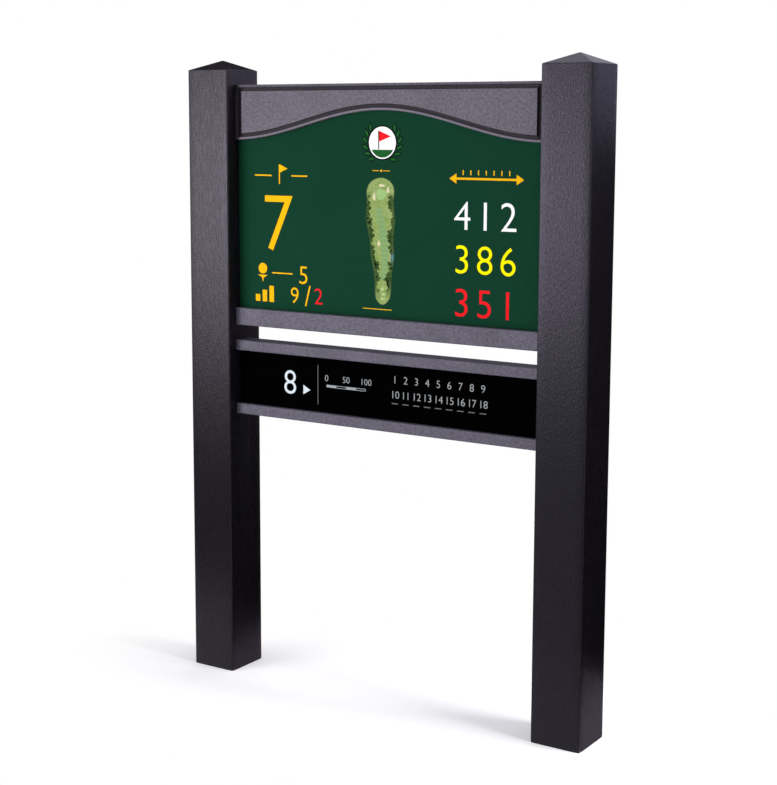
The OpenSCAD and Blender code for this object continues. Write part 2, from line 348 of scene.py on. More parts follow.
@dataclass(frozen=True)
class TurnedSteel(Finish):
    """Stainless steel, turned and lightly tumbled, so it shows fine rings and soft highlights."""

    colour: str = "#C9C8C6"

    def build(self) -> bpy.types.Material:
        """Makes the material.

        Returns:
            The material.
        """
        material, tree, shader, place = self.start(Metallic=1.0)
        rings = self.grain(tree, place, (0.35, 0.35, 0.35), 2.0)
        smear = self.grain(tree, place, (4.0, 4.0, 4.0), 2.0, (2.0, 6.0, 4.0))
        base = mix_colours(tree, self.spread(tree, smear, 0.0, 0.5), linear(self.colour), linear("#8F8E8C"))
        tree.links.new(base, shader.inputs["Base Color"])
        tree.links.new(self.spread(tree, smear, 0.28, 0.45), shader.inputs["Roughness"])
        bump = add_node(tree, "ShaderNodeBump", {"Strength": 0.6, "Distance": 0.02 * MM, "Height": rings})
        tree.links.new(bump.outputs[0], shader.inputs["Normal"])
        return material


@dataclass(frozen=True)
class FoamTape(Finish):
    """Closed-cell foam tape: matt black with fine open pores at its cut edge."""

    def build(self) -> bpy.types.Material:
        """Makes the material.

        Returns:
            The material.
        """
        material, tree, shader, place = self.start(Specular_IOR_Level=0.2, IOR=1.5)
        cells = add_node(tree, "ShaderNodeTexVoronoi", {"Vector": place, "Scale": 1 / (0.8 * MM)}).outputs["Distance"]
        base = mix_colours(tree, self.spread(tree, cells, 0.0, 1.0, 0.0, 0.6), linear("#0B0B0B"), linear("#1F1F1F"))
        tree.links.new(base, shader.inputs["Base Color"])
        tree.links.new(self.spread(tree, cells, 0.85, 0.95, 0.0, 0.6), shader.inputs["Roughness"])
        bump = add_node(tree, "ShaderNodeBump", {"Strength": 0.8, "Distance": 0.15 * MM, "Height": cells})
        tree.links.new(bump.outputs[0], shader.inputs["Normal"])
        return material


# Extruded and brushed along its length: fine upright streaks, a satin sheen
POST_PLASTIC = RecycledPlastic("brushed recycled polyethylene", "#030204", "#141116", (0.30, 0.44), 0.34,
                               (3.0, 3.0, 16.0), (2.0, 2.0, 4.0), 0.34, 0.28, tint="#F3E8FF")
# The right post came off another run, with a pebbled skin: short upright stipple
PEBBLED_PLASTIC = RecycledPlastic("pebbled recycled polyethylene", "#030204", "#141116", (0.30, 0.44), 0.345,
                                  (2.8, 2.8, 7.0), (1.8, 1.8, 3.6), 0.36, 0.24, tint="#EAE2FF")
# Routed from wide board and bead-blasted: mottled, paler and duller than the posts, with painted shade in its quirks
# and at its ends
HEADER_PLASTIC = RecycledPlastic("blasted recycled polyethylene board", "#3D3941", "#57535D", (0.40, 0.54), 0.34,
                                 (4.6, 4.6, 4.6), (2.4, 2.4, 2.4), 0.50, 0.24)
# Planed section, blasted with the header: the same mottle, a little darker
RAIL_PLASTIC = RecycledPlastic("blasted recycled polyethylene rail", "#403E49", "#56535F", (0.42, 0.54), 0.34,
                               (5.5, 4.5, 4.5), (2.4, 2.4, 2.4), 0.40, 0.22)
# Sawn and sanded strip, seen from the back only: long saw streaks
STRIP_PLASTIC = RecycledPlastic("sawn recycled polyethylene strip", "#2C2A30", "#3E3B42", (0.50, 0.62), 0.30,
                                (5.0, 1.2, 5.0), (1.4, 1.4, 1.4), 0.14, 0.08)
# Solid polyethylene board: smooth and matt, with a faint skin
BACKING_BOARD = RecycledPlastic("pressed polyethylene board", "#232326", "#2D2D31", (0.55, 0.65), 0.30,
                                (12.0, 12.0, 12.0), (1.6, 1.6, 1.6), 0.06, 0.05)
GREEN_FILM = PrintedFilm("dark green printed film", "#123A29", 0.6, 0.01)
BLACK_FILM = PrintedFilm("black printed film", "#010101", 0.6, 0.003)
GOLD_FILM = PrintedFilm("gold yellow cut film", "#F5B60F")
WHITE_FILM = PrintedFilm("white cut film", "#FAFAFA")
YELLOW_FILM = PrintedFilm("yellow cut film", "#FFF200")
RED_FILM = PrintedFilm("red cut film", "#ED1C24")
GREY_FILM = PrintedFilm("pale grey cut film", "#CDD7DC")
MID_GREY_FILM = PrintedFilm("mid grey cut film", "#9BA0A3")
SLATE_FILM = PrintedFilm("slate grey cut film", "#6F7274")
DARK_FILM = PrintedFilm("black cut film", "#060606")
LEAF_FILM = PrintedFilm("leaf green cut film", "#1D5A2A")
WOODS_FILM = PrintedFilm("woodland green cut film", "#294020")
PLAN_PRINT = PlanPrint("hole plan print", "#123A29")
STEEL = TurnedSteel("turned stainless steel")
FOAM = FoamTape("closed-cell foam tape")


class Stock:
    """Makes each finish once and gives its material out."""

    def __init__(self) -> None:
        """Starts with nothing made."""
        self.made: dict[str, bpy.types.Material] = {}

    def get(self, finish: Finish) -> bpy.types.Material:
        """Gives a finish's material."""
        if finish.name not in self.made:
            self.made[finish.name] = finish.build()
        return self.made[finish.name]


STOCK = Stock()


# Geometry Nodes


class Tree:
    """A Geometry Nodes tree with named inputs, set on an object by the sockets' identifiers."""

    def __init__(self, name: str, inputs: dict[str, str]) -> None:
        """Starts the tree.

        Args:
            name: The tree's name.
            inputs: Input names with their socket types.
        """
        self.tree = bpy.data.node_groups.new(name, "GeometryNodeTree")
        self.sockets: dict[str, str] = {}
        self.tree.interface.new_socket("Geometry", in_out="INPUT", socket_type="NodeSocketGeometry")
        for label, kind in {**inputs, "Material": "NodeSocketMaterial"}.items():
            self.sockets[label] = self.tree.interface.new_socket(label, in_out="INPUT", socket_type=kind).identifier
        self.tree.interface.new_socket("Geometry", in_out="OUTPUT", socket_type="NodeSocketGeometry")
        self.source = self.tree.nodes.new("NodeGroupInput").outputs

    def add(self, kind: str, inputs: dict | None = None, **settings) -> bpy.types.Node:
        """Adds a node to the tree."""
        return add_node(self.tree, kind, inputs, **settings)

    def math(self, operation: str, *values) -> bpy.types.NodeSocket:
        """Adds a Math node and gives its output."""
        return math_node(self.tree, operation, *values)

    def close(self, geometry: bpy.types.NodeSocket) -> "Tree":
        """Ends the tree in Realize Instances and Set Material, and gives it back."""
        real = self.add("GeometryNodeRealizeInstances", {0: geometry})
        dressed = self.add("GeometryNodeSetMaterial", {"Geometry": real.outputs[0], "Material": self.source["Material"]})
        self.add("NodeGroupOutput", {0: dressed.outputs[0]})
        return self

    def run(self, obj: bpy.types.Object, finish: Finish, **values) -> bpy.types.Object:
        """Runs the tree on an object and settles the result into a plain mesh.

        Args:
            obj: The object to run it on.
            finish: The finish for its Material input.
            **values: The other inputs by name, with _ for a space.

        Returns:
            The object with its new mesh.
        """
        modifier = obj.modifiers.new(self.tree.name, "NODES")
        modifier.node_group = self.tree
        for label, value in values.items():
            modifier[self.sockets[label.replace("_", " ")]] = value
        modifier[self.sockets["Material"]] = STOCK.get(finish)
        obj.update_tag()
        return settled(obj)


def arch_tree() -> Tree:
    """Makes the tree that bends a straight header's lower edge into its arch.

    Returns:
        The tree, whose inputs are the Span and the Rise.
    """
    t = Tree("header_arch", {"Span": "NodeSocketFloat", "Rise": "NodeSocketFloat"})
    along = t.add("ShaderNodeSeparateXYZ", {0: t.add("GeometryNodeInputPosition").outputs[0]}).outputs[0]
    lower, inset = (t.add("GeometryNodeInputNamedAttribute", {"Name": name}, data_type="FLOAT").outputs["Attribute"]
                    for name in ("lower", "inset"))
    wave = t.math("DIVIDE", 2 * math.pi, t.source["Span"])
    angle = t.math("MULTIPLY", along, wave)
    half = t.math("MULTIPLY", t.source["Rise"], 0.5)
    lift = t.math("MULTIPLY", half, t.math("ADD", t.math("COSINE", angle), 1.0))
    slope = t.math("MULTIPLY", t.math("MULTIPLY", half, wave), t.math("SINE", angle))
    stretch = t.math("SUBTRACT", t.math("SQRT", t.math("MULTIPLY_ADD", slope, slope, 1.0)), 1.0)
    rise = t.math("MULTIPLY", lower, t.math("MULTIPLY_ADD", inset, stretch, lift))
    offset = t.add("ShaderNodeCombineXYZ", {2: rise})
    moved = t.add("GeometryNodeSetPosition", {"Geometry": t.source["Geometry"], "Offset": offset.outputs[0]})
    return t.close(moved.outputs[0])


def screw_tree() -> Tree:
    """Makes the tree that sets a screw on each point, turned about its own axis by a seeded angle.

    Returns:
        The tree, whose inputs are the Screw and the Seed; the points carry the attribute outward.
    """
    t = Tree("screws_on_points", {"Screw": "NodeSocketObject", "Seed": "NodeSocketInt"})
    outward = t.add("GeometryNodeInputNamedAttribute", {"Name": "outward"}, data_type="FLOAT_VECTOR").outputs["Attribute"]
    facing = t.add("FunctionNodeAlignRotationToVector", {"Vector": outward}, axis="Z")
    turn = t.add("FunctionNodeRandomValue", {"Min": 0.0, "Max": math.tau, "Seed": t.source["Seed"]}, data_type="FLOAT")
    turn_value = next(s for s in turn.outputs if s.enabled)
    angles = t.add("ShaderNodeCombineXYZ", {2: turn_value})
    euler = t.add("FunctionNodeEulerToRotation", {0: angles.outputs[0]})
    turned = t.add("FunctionNodeRotateRotation", {0: facing.outputs[0], 1: euler.outputs[0]}, rotation_space="LOCAL")
    shape = t.add("GeometryNodeObjectInfo", {"Object": t.source["Screw"]})
    placed = t.add("GeometryNodeInstanceOnPoints", {
        "Points": t.source["Geometry"], "Instance": shape.outputs["Geometry"], "Rotation": turned.outputs[0]})
    return t.close(placed.outputs[0])


def ticks_tree() -> Tree:
    """Makes the tree that repeats a small plate along a row.

    Returns:
        The tree, whose inputs are the Count, the Start, the Pitch between two plates and the plate's Size.
    """
    t = Tree("row_of_ticks", {"Count": "NodeSocketInt", "Start": "NodeSocketVector", "Pitch": "NodeSocketVector", "Size": "NodeSocketVector"})
    row = t.add("GeometryNodeMeshLine", {"Count": t.source["Count"], "Start Location": t.source["Start"], "Offset": t.source["Pitch"]},
                mode="OFFSET")
    plate = t.add("GeometryNodeMeshCube", {"Size": t.source["Size"]})
    placed = t.add("GeometryNodeInstanceOnPoints", {"Points": row.outputs[0], "Instance": plate.outputs[0]})
    return t.close(placed.outputs[0])


def clumps_tree() -> Tree:
    """Makes the tree that strews flat tree crowns over a surface.

    Returns:
        The tree, whose inputs are the Density, the Crown radius, its Thickness and the Seed.
    """
    t = Tree("tree_clumps", {"Density": "NodeSocketFloat", "Crown": "NodeSocketFloat", "Thickness": "NodeSocketFloat", "Seed": "NodeSocketInt"})
    points = t.add("GeometryNodeDistributePointsOnFaces", {
        "Mesh": t.source["Geometry"], "Density": t.source["Density"], "Seed": t.source["Seed"]}, distribute_method="RANDOM")
    crown = t.add("GeometryNodeMeshCylinder", {"Vertices": 9, "Radius": t.source["Crown"], "Depth": t.source["Thickness"]})
    size = t.add("FunctionNodeRandomValue", {"Min": 0.55, "Max": 1.35, "Seed": t.source["Seed"]}, data_type="FLOAT")
    scale = next(s for s in size.outputs if s.enabled)
    wide = t.add("ShaderNodeCombineXYZ", {0: scale, 1: scale, 2: 1.0})
    placed = t.add("GeometryNodeInstanceOnPoints", {
        "Points": points.outputs["Points"], "Instance": crown.outputs["Mesh"],
        "Rotation": (math.pi / 2, 0.0, 0.0), "Scale": wide.outputs[0]})
    return t.close(placed.outputs[0])


# Screws, whose places the CAD model gives


@dataclass(frozen=True)
class ScrewPlace:
    """Where a screw of the frame sits.

    Attributes:
        head: The middle of the head's face, in metres.
        outward: From the point to the head.
        length: From the head's face to the point, in metres.
    """

    head: Vector
    outward: Vector
    length: float


def screw_places(node: str) -> list[ScrewPlace]:
    """Reads the places of a node's screws from its separate solids.

    Args:
        node: The CAD node that holds them.

    Returns:
        The places, in a fixed order.
    """
    bm = bmesh.new()
    bm.from_mesh(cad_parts[node].data)
    bmesh.ops.remove_doubles(bm, verts=bm.verts, dist=1e-6)
    left, places = set(bm.verts), []
    while left:
        island, queue = set(), [left.pop()]
        while queue:
            vert = queue.pop()
            island.add(vert)
            for edge in vert.link_edges:
                other = edge.other_vert(vert)
                if other in left:
                    left.remove(other)
                    queue.append(other)
        points = [v.co.copy() for v in island]
        low = Vector([min(p[i] for p in points) for i in range(3)])
        high = Vector([max(p[i] for p in points) for i in range(3)])
        axis = max(range(3), key=lambda i: high[i] - low[i])
        middle, length = (low + high) / 2, high[axis] - low[axis]
        reach = [max((p - middle).length for p in points if abs(p[axis] - end[axis]) < 1e-5) for end in (low, high)]
        sign = 1.0 if reach[1] > reach[0] else -1.0
        outward = Vector([sign if i == axis else 0.0 for i in range(3)])
        places.append(ScrewPlace(middle + outward * length / 2, outward, length))
    bm.free()
    return sorted(places, key=lambda p: tuple(round(c, 5) for c in p.head))


def turned(profile: Sequence[tuple[float, float, bool]], sides: int = 24) -> bmesh.types.BMesh:
    """Turns a profile round Z, with hexagonal rings where they are asked for.

    Args:
        profile: Radius, height and whether the ring is a hexagon, from the socket's floor outwards to the point.
        sides: Points in a ring, a multiple of 6.

    Returns:
        The closed shape, in millimetres.
    """
    bm = bmesh.new()
    rings = []
    for radius, height, hexagon in profile:
        ring = []
        for i in range(sides):
            angle = math.tau * i / sides
            r = radius / math.cos((angle + math.pi / 6) % (math.pi / 3) - math.pi / 6) if hexagon else radius
            ring.append(bm.verts.new((r * math.cos(angle), r * math.sin(angle), height)))
        rings.append(ring)
    for first, second in zip(rings, rings[1:]):
        for i in range(sides):
            j = (i + 1) % sides
            bm.faces.new((first[i], first[j], second[j], second[i]))
    bm.faces.new(rings[0])
    bm.faces.new(rings[-1])
    return bm


@dataclass
class ScrewKind:
    """A countersunk screw with a hexagon socket, in millimetres.

    Attributes:
        shank: Diameter of the shank.
        head: Diameter of the head.
        clearance: Gap round it in its hole.
    """

    shank: float
    head: float
    clearance: float = 0.15

    def template(self, length: float) -> bpy.types.Object:
        """Makes one screw with its head's face at the origin and its point down."""
        r, h = self.shank / 2, self.head / 2
        socket, depth, rim = h * 0.46, self.head * 0.2, 0.25
        profile = [
            (socket * 0.5, -depth - 0.25, True), (socket, -depth, True), (socket, -0.25, True), (socket + 0.2, -0.06, True),
            (h - 2 * rim, 0.0, False), (h - rim * 0.4, -0.06, False), (h, -rim, False), (h - 0.1, -rim - 0.15, False),
            (r + 0.1, r - h - 0.1, False), (r, r - h - 0.5, False), (r, r - length, False), (0.25, -length, False),
        ]
        mesh = mesh_of(turned(profile), "screw_template")
        smooth_by_angle(mesh, 28.0)
        return new_object("screw_template", mesh)

    def hole(self, bm: bmesh.types.BMesh, place: ScrewPlace) -> None:
        """Adds the solid that cuts a screw's hole, in millimetres."""
        g = self.clearance
        r, h, length = self.shank / 2 + g, self.head / 2 + g, place.length / MM + g
        cutter = turned([(h, 1.0, False), (h, -g, False), (r, r - h - g, False), (r, -length, False)])
        turn = place.outward.to_track_quat("Z", "Y").to_matrix().to_4x4()
        cutter.transform(Matrix.Translation(place.head / MM) @ turn)
        mesh = bpy.data.meshes.new("cut")
        bmesh.ops.recalc_face_normals(cutter, faces=cutter.faces)
        cutter.to_mesh(mesh)
        cutter.free()
        bm.from_mesh(mesh)
        bpy.data.meshes.remove(mesh)


TENON_SCREW = ScrewKind(5.0, 10.0)
STRIP_SCREW = ScrewKind(3.5, 7.0)
SCREW_SETS = {
    "header_tenon_screws": TENON_SCREW, "main_rail_tenon_screws": TENON_SCREW, "slim_rail_tenon_screws": TENON_SCREW,
    "main_panel_strip_screws": STRIP_SCREW, "lower_panel_strip_screws": STRIP_SCREW,
}


class Screws:
    """All the sign's screws, one piece for each node that holds them."""

    def __init__(self) -> None:
        """Reads every screw's place."""
        self.places = {node: screw_places(node) for node in SCREW_SETS}

    def near(self, low: Vector, high: Vector) -> list[tuple[ScrewKind, ScrewPlace]]:
        """Gives the screws whose shanks enter a box, in metres."""
        found = []
        for node, places in self.places.items():
            for place in places:
                samples = (place.head - place.outward * place.length * share / 8 for share in range(1, 9))
                if any(all(low[i] < p[i] < high[i] for i in range(3)) for p in samples):
                    found.append((SCREW_SETS[node], place))
        return found

    def build(self) -> None:
        """Makes the five sets of screws by Geometry Nodes."""
        tree = screw_tree()
        for seed, (node, kind) in enumerate(SCREW_SETS.items(), start=11):
            places = self.places[node]
            template = kind.template(places[0].length / MM)
            mesh = bpy.data.meshes.new(node)
            mesh.from_pydata([p.head for p in places], [], [])
            outward = mesh.attributes.new("outward", "FLOAT_VECTOR", "POINT")
            outward.data.foreach_set("vector", [c for p in places for c in p.outward])
            obj = tree.run(new_object(node.replace("_screws", "_steel_screws"), mesh), STEEL, Screw=template, Seed=seed)
            bpy.data.objects.remove(template)
            hand_over(obj, "screw_steel", node)


# Timber-like members


@dataclass
class Joinery:
    """The sizes that the posts and the members share, in millimetres.

    Attributes:
        span: Clear distance between the posts.
        post: Width and depth of a post.
        front: The members' front, from the sign's middle plane.
        lip: The back of the members' front lip.
        back: The members' back.
        tenon: Length of a tenon.
        shoulder: Shoulder above, below and behind a tenon.
        clearance: Gap round a tenon in its mortise.
        rears: Lowest and highest height of each member's rear part, which carries its tenons.
    """

    span: float = 688.0
    post: float = 100.0
    front: float = -28.0
    lip: float = -17.5
    back: float = 12.0
    tenon: float = 30.0
    shoulder: float = 2.0
    clearance: float = 0.3
    rears: tuple[Point2, ...] = ((1147.0, 1191.0), (716.0, 745.0), (671.0, 686.0), (536.0, 551.0))

    def block(self, bm: bmesh.types.BMesh, low: Point3, high: Point3) -> None:
        """Adds a plain block to a bmesh."""
        size = [h - l for l, h in zip(low, high)]
        middle = [(h + l) / 2 for l, h in zip(low, high)]
        bmesh.ops.create_cube(bm, size=1.0, matrix=Matrix.Translation(middle) @ Matrix.Diagonal((*size, 1.0)))

    def tenons(self, bm: bmesh.types.BMesh, rear: Point2, gap: float = 0.0, sides: Sequence[int] = (-1, 1)) -> None:
        """Adds a member's tenons, or with a gap the blocks that cut their mortises.

        Args:
            bm: The bmesh that takes them.
            rear: Lowest and highest height of the member's rear part.
            gap: How much wider than the tenon the block is.
            sides: -1 for the left end, 1 for the right end.
        """
        for side in sides:
            ends = sorted((side * (self.span / 2 - 1.0), side * (self.span / 2 + self.tenon + gap)))
            self.block(bm, (ends[0], self.lip - gap, rear[0] + self.shoulder - gap),
                       (ends[1], self.back - self.shoulder + gap, rear[1] - self.shoulder + gap))


def cut_or_join(obj: bpy.types.Object, tool: bmesh.types.BMesh, operation: str) -> None:
    """Cuts a tool out of an object, or joins it on, by an exact boolean.

    Args:
        obj: The object to change.
        tool: The tool's solids, in millimetres.
        operation: "DIFFERENCE" or "UNION".
    """
    helper = new_object("tool", mesh_of(tool, "tool"))
    modifier = obj.modifiers.new("tool", "BOOLEAN")
    modifier.object, modifier.operation, modifier.solver = helper, operation, "EXACT"
    modifier.use_self = True
    settled(obj)
    bpy.data.objects.remove(helper)


def even_shading(obj: bpy.types.Object) -> None:
    """Shades broad faces flat up to their rounded arrises, by face area."""
    smooth_by_angle(obj.data, 40.0)
    modifier = obj.modifiers.new("even", "WEIGHTED_NORMAL")
    modifier.mode, modifier.weight, modifier.keep_sharp = "FACE_AREA", 100, True
    settled(obj)


class PostSide(Enum):
    """Which of the two posts it is."""

    LEFT = -1
    RIGHT = 1


@dataclass
class Post:
    """A square extruded post with a four-sided weathered top, in millimetres.

    Attributes:
        side: Which post it is.
        screws: The sign's screws, for their holes.
        joinery: The shared sizes.
        height: Height of the shoulder of the weathered top.
        top: Height of the weathered top above it.
        arris: Radius of the four long arrises.
        crown: How far a face falls away towards an arris, as extruded faces do.
        crown_width: Width of the strip over which it falls away.
        eave: Radius of the eaves.
        foot: Size of the sawn foot's eased edge.
    """

    side: PostSide
    screws: Screws
    joinery: Joinery = field(default_factory=Joinery)
    height: float = 1220.0
    top: float = 20.0
    arris: float = 3.0
    crown: float = 1.0
    crown_width: float = 20.0
    eave: float = 1.6
    foot: float = 0.9

    def section(self) -> list[Point2]:
        """Draws the post's section: flat faces that fall away towards rounded arrises.

        Returns:
            The points, round the section.
        """
        half, r, w = self.joinery.post / 2, self.arris, self.crown_width
        centre, tilt, share = half - r, 0.0, 0.0
        for _ in range(20):
            share = (centre + r * math.sin(tilt) - half + w) / w
            tilt = math.atan(2 * self.crown * share / w)
            centre = half - self.crown * share ** 2 - r * math.cos(tilt)
        octant = [(half - self.crown * (share * i / 6) ** 2, half - w + w * share * i / 6) for i in range(6)]
        octant += [(centre + r * math.cos(a), centre + r * math.sin(a)) for a in (tilt + (math.pi / 4 - tilt) * i / 4 for i in range(5))]
        quarter = octant + [(b, a) for a, b in reversed(octant[:-1])]
        ring = []
        for turn in range(4):
            c, s = round(math.cos(turn * math.pi / 2)), round(math.sin(turn * math.pi / 2))
            ring += [(x * c - y * s, x * s + y * c) for x, y in quarter]
        return ring

    def roof(self, x: float, y: float) -> float:
        """Gives the weathered top's height over a point of the section, with softened hips."""
        half = self.joinery.post / 2
        reach = (abs(x / half) ** 24 + abs(y / half) ** 24) ** (1 / 24)
        return self.height + self.top * (1 - reach)

    def shell(self) -> bpy.types.Object:
        """Builds the column from rings, from its foot up to its apex.

        Returns:
            The closed column.
        """
        half = self.joinery.post / 2
        centre = self.side.value * (self.joinery.span / 2 + half)
        slope = math.atan2(self.top, half)
        turn = math.pi / 2 - slope
        tangent = self.eave * math.tan(turn / 2)
        bm = bmesh.new()
        loops = []

        def ring(inset: float, height: Callable[[float, float], float]) -> None:
            """Adds a ring of the section, drawn in by an inset."""
            scale = 1 - inset / half
            loops.append([bm.verts.new((centre + x * scale, y * scale, height(x * scale, y * scale))) for x, y in self.section()])

        for inset, z in ((self.foot, 0.0), (self.foot * 0.3, self.foot * 0.3), (0.0, self.foot)):
            ring(inset, lambda x, y, z=z: z)
        for i in range(6):
            a = turn * i / 5
            inset, rise = self.eave * (1 - math.cos(a)), self.eave * math.sin(a) - tangent
            ring(inset, lambda x, y, d=rise - math.tan(slope) * inset: self.roof(x, y) + d)
        for share in (0.08, 0.2, 0.4, 0.6, 0.8, 0.9, 0.96):
            ring(half * share, self.roof)
        ring(half * 0.985, lambda x, y: self.roof(x, y) - 0.15)
        count = len(loops[0])
        for first, second in zip(loops, loops[1:]):
            for i in range(count):
                k = (i + 1) % count
                bm.faces.new((first[i], first[k], second[k], second[i]))
        bm.faces.new(loops[0])
        bm.faces.new(loops[-1])
        return new_object(f"{self.side.name.lower()}_post_lumber", mesh_of(bm, "post"))

    def build(self) -> None:
        """Makes the post with its mortises and screw holes."""
        obj = self.shell()
        tool = bmesh.new()
        for rear in self.joinery.rears:
            self.joinery.tenons(tool, rear, self.joinery.clearance, (self.side.value,))
        low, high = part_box(f"{self.side.name.lower()}_post")
        for kind, place in self.screws.near(low, high):
            kind.hole(tool, place)
        cut_or_join(obj, tool, "DIFFERENCE")
        smooth_by_angle(obj.data, 30.0)
        finish = POST_PLASTIC if self.side is PostSide.LEFT else PEBBLED_PLASTIC
        obj.data.materials.clear()
        obj.data.materials.append(STOCK.get(finish))
        hand_over(obj, "post_plastic", f"{self.side.name.lower()}_post")


@dataclass
class HeaderBoard:
    """The header board: a bead and a quirk round a raised field, with an arched lower edge, in millimetres.

    Attributes:
        screws: The sign's screws, for their holes.
        joinery: The shared sizes.
        top: Height of the upper edge.
        low: Height of the lower edge at its ends.
        ledge: Height of the rebate's ledge.
        rise: Rise of the arch.
        bead: Width of the bead.
        quirk: Width of the quirk.
        depth: Depth of the quirk.
        land: Flat strip between a post and the bead.
        steps: Strips along the board.
    """

    screws: Screws
    joinery: Joinery = field(default_factory=Joinery)
    top: float = 1191.0
    low: float = 1084.0
    ledge: float = 1147.0
    rise: float = 57.0
    bead: float = 5.5
    quirk: float = 6.5
    depth: float = 4.0
    land: float = 5.0
    steps: int = 96

    def section(self) -> list[Point2]:
        """Gives the mouldings' section, as inset from the edge and depth behind the front, from the edge inwards."""
        r = self.bead / 2
        points = [(r - r * math.cos(a), r - r * math.sin(a)) for a in (math.pi * i / 8 for i in range(8))]
        start, stop = self.bead, self.bead + self.quirk
        points += [(start - 0.1, r - 0.2), (start + 0.1, r + 0.3), (start + 0.6, self.depth - 0.3), (start + 1.4, self.depth)]
        points += [(stop - 1.6, self.depth), (stop - 0.7, self.depth - 0.4), (stop - 0.2, self.depth - 1.6), (stop - 0.1, 1.2)]
        points += [(stop + 0.1, 0.6), (stop + 0.5, 0.18), (stop + 1.2, 0.0)]
        return points

    def gets_painted_shade(self, inset: float, y: float) -> bool:
        """Says whether a ring lies in the quirk, which is painted with shade."""
        return self.bead < inset < self.bead + self.quirk and y > self.joinery.front + 1.0

    def board(self) -> bpy.types.Object:
        """Builds the straight board from rings, which carry what the arch needs to bend them.

        Returns:
            The board, with its lower edge still straight.
        """
        j, half = self.joinery, self.joinery.span / 2
        rings = [(inset, inset + self.land if i else 0.0, j.front + depth, self.low + inset, self.top - inset, True)
                 for i, (inset, depth) in enumerate(self.section())]
        rings.insert(1, (rings[0][0], self.land, rings[0][2], self.low, self.top, True))
        rings.reverse()
        rear = (
            (0.0, j.lip - 0.6, self.low, self.top, True), (0.6, j.lip, self.low + 0.6, self.top, True),
            (0.0, j.lip + 0.2, self.ledge, self.top, False),
            (0.0, j.back - 1.2, self.ledge, self.top, False), (0.0, j.back - 0.35, self.ledge + 0.2, self.top - 0.35, False),
            (0.0, j.back, self.ledge + 0.6, self.top - 1.2, False),
        )
        rings += [(inset, 0.0, y, low, high, arched) for inset, y, low, high, arched in rear]
        bm = bmesh.new()
        lower, inset_layer, routed, crest = (bm.verts.layers.float.new(name) for name in ("lower", "inset", "routed", "crest"))
        loops = []
        for inset, margin, y, low, high, arched in rings:
            reach = half - margin
            xs = [-reach + 2 * reach * i / self.steps for i in range(self.steps + 1)]
            loop = [bm.verts.new((x, y, low)) for x in xs] + [bm.verts.new((x, y, high)) for x in reversed(xs)]
            for vert in loop[:len(xs)]:
                vert[lower], vert[inset_layer] = float(arched), inset * MM
                # Painted highlight along the front of the lower, arched bead, where light catches it
                vert[crest] = float(0.8 < inset < self.bead and y < self.joinery.front + 1.5)
            # Painted shade: 0.8 in the quirks; full in the right end's quirk, and full over the left end's land, bead
            # and quirk, standing for the left post's shadow
            for vert in loop:
                vert[routed] = 0.8 * self.gets_painted_shade(inset, y)
            for vert in (loop[0], loop[-1]):
                vert[routed] = float(arched and inset < self.bead + self.quirk)
            for vert in (loop[len(xs) - 1], loop[len(xs)]):
                vert[routed] = float(self.gets_painted_shade(inset, y))
            loops.append(loop)
        count = len(loops[0])
        for first, second in zip(loops, loops[1:]):
            for i in range(count):
                k = (i + 1) % count
                bm.faces.new((first[i], first[k], second[k], second[i]))
        for loop in (loops[0], loops[-1]):
            for i in range(self.steps):
                bm.faces.new((loop[i], loop[i + 1], loop[count - 2 - i], loop[count - 1 - i]))
        return new_object("arched_header_board", mesh_of(bm, "header"))

    def build(self) -> None:
        """Makes the board, bends it, and gives it its tenons and screw holes."""
        obj = arch_tree().run(self.board(), HEADER_PLASTIC, Span=self.joinery.span * MM, Rise=self.rise * MM)
        tenons = bmesh.new()
        self.joinery.tenons(tenons, self.joinery.rears[0])
        cut_or_join(obj, tenons, "UNION")
        holes = bmesh.new()
        low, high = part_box("header_board")
        for kind, place in self.screws.near(low, high):
            kind.hole(holes, place)
        cut_or_join(obj, holes, "DIFFERENCE")
        even_shading(obj)
        obj.data.materials.clear()
        obj.data.materials.append(STOCK.get(HEADER_PLASTIC))
        hand_over(obj, "header_plastic", "header_board")


NODE_FINISHES: dict[str, Finish] = {
    "main_rail": RAIL_PLASTIC, "lower_panel_top_rail": RAIL_PLASTIC, "lower_panel_bottom_rail": RAIL_PLASTIC,
    "main_panel_face": GREEN_FILM, "lower_panel_face": BLACK_FILM,
    "main_panel_backing": BACKING_BOARD, "lower_panel_backing": BACKING_BOARD,
    "main_panel_seals": FOAM, "lower_panel_seals": FOAM,
    **{f"{panel}_panel_{side}_strip": STRIP_PLASTIC for panel in ("main", "lower") for side in ("top", "bottom", "left", "right")},
}


def dress_nodes() -> None:
    """Gives each CAD node that stays in view its own finish."""
    for node, finish in NODE_FINISHES.items():
        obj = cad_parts[node]
        obj.data.materials.clear()
        obj.data.materials.append(STOCK.get(finish))
        LOG.info("%s: kept, in %s", node, finish.name)


# Prints on the sheets


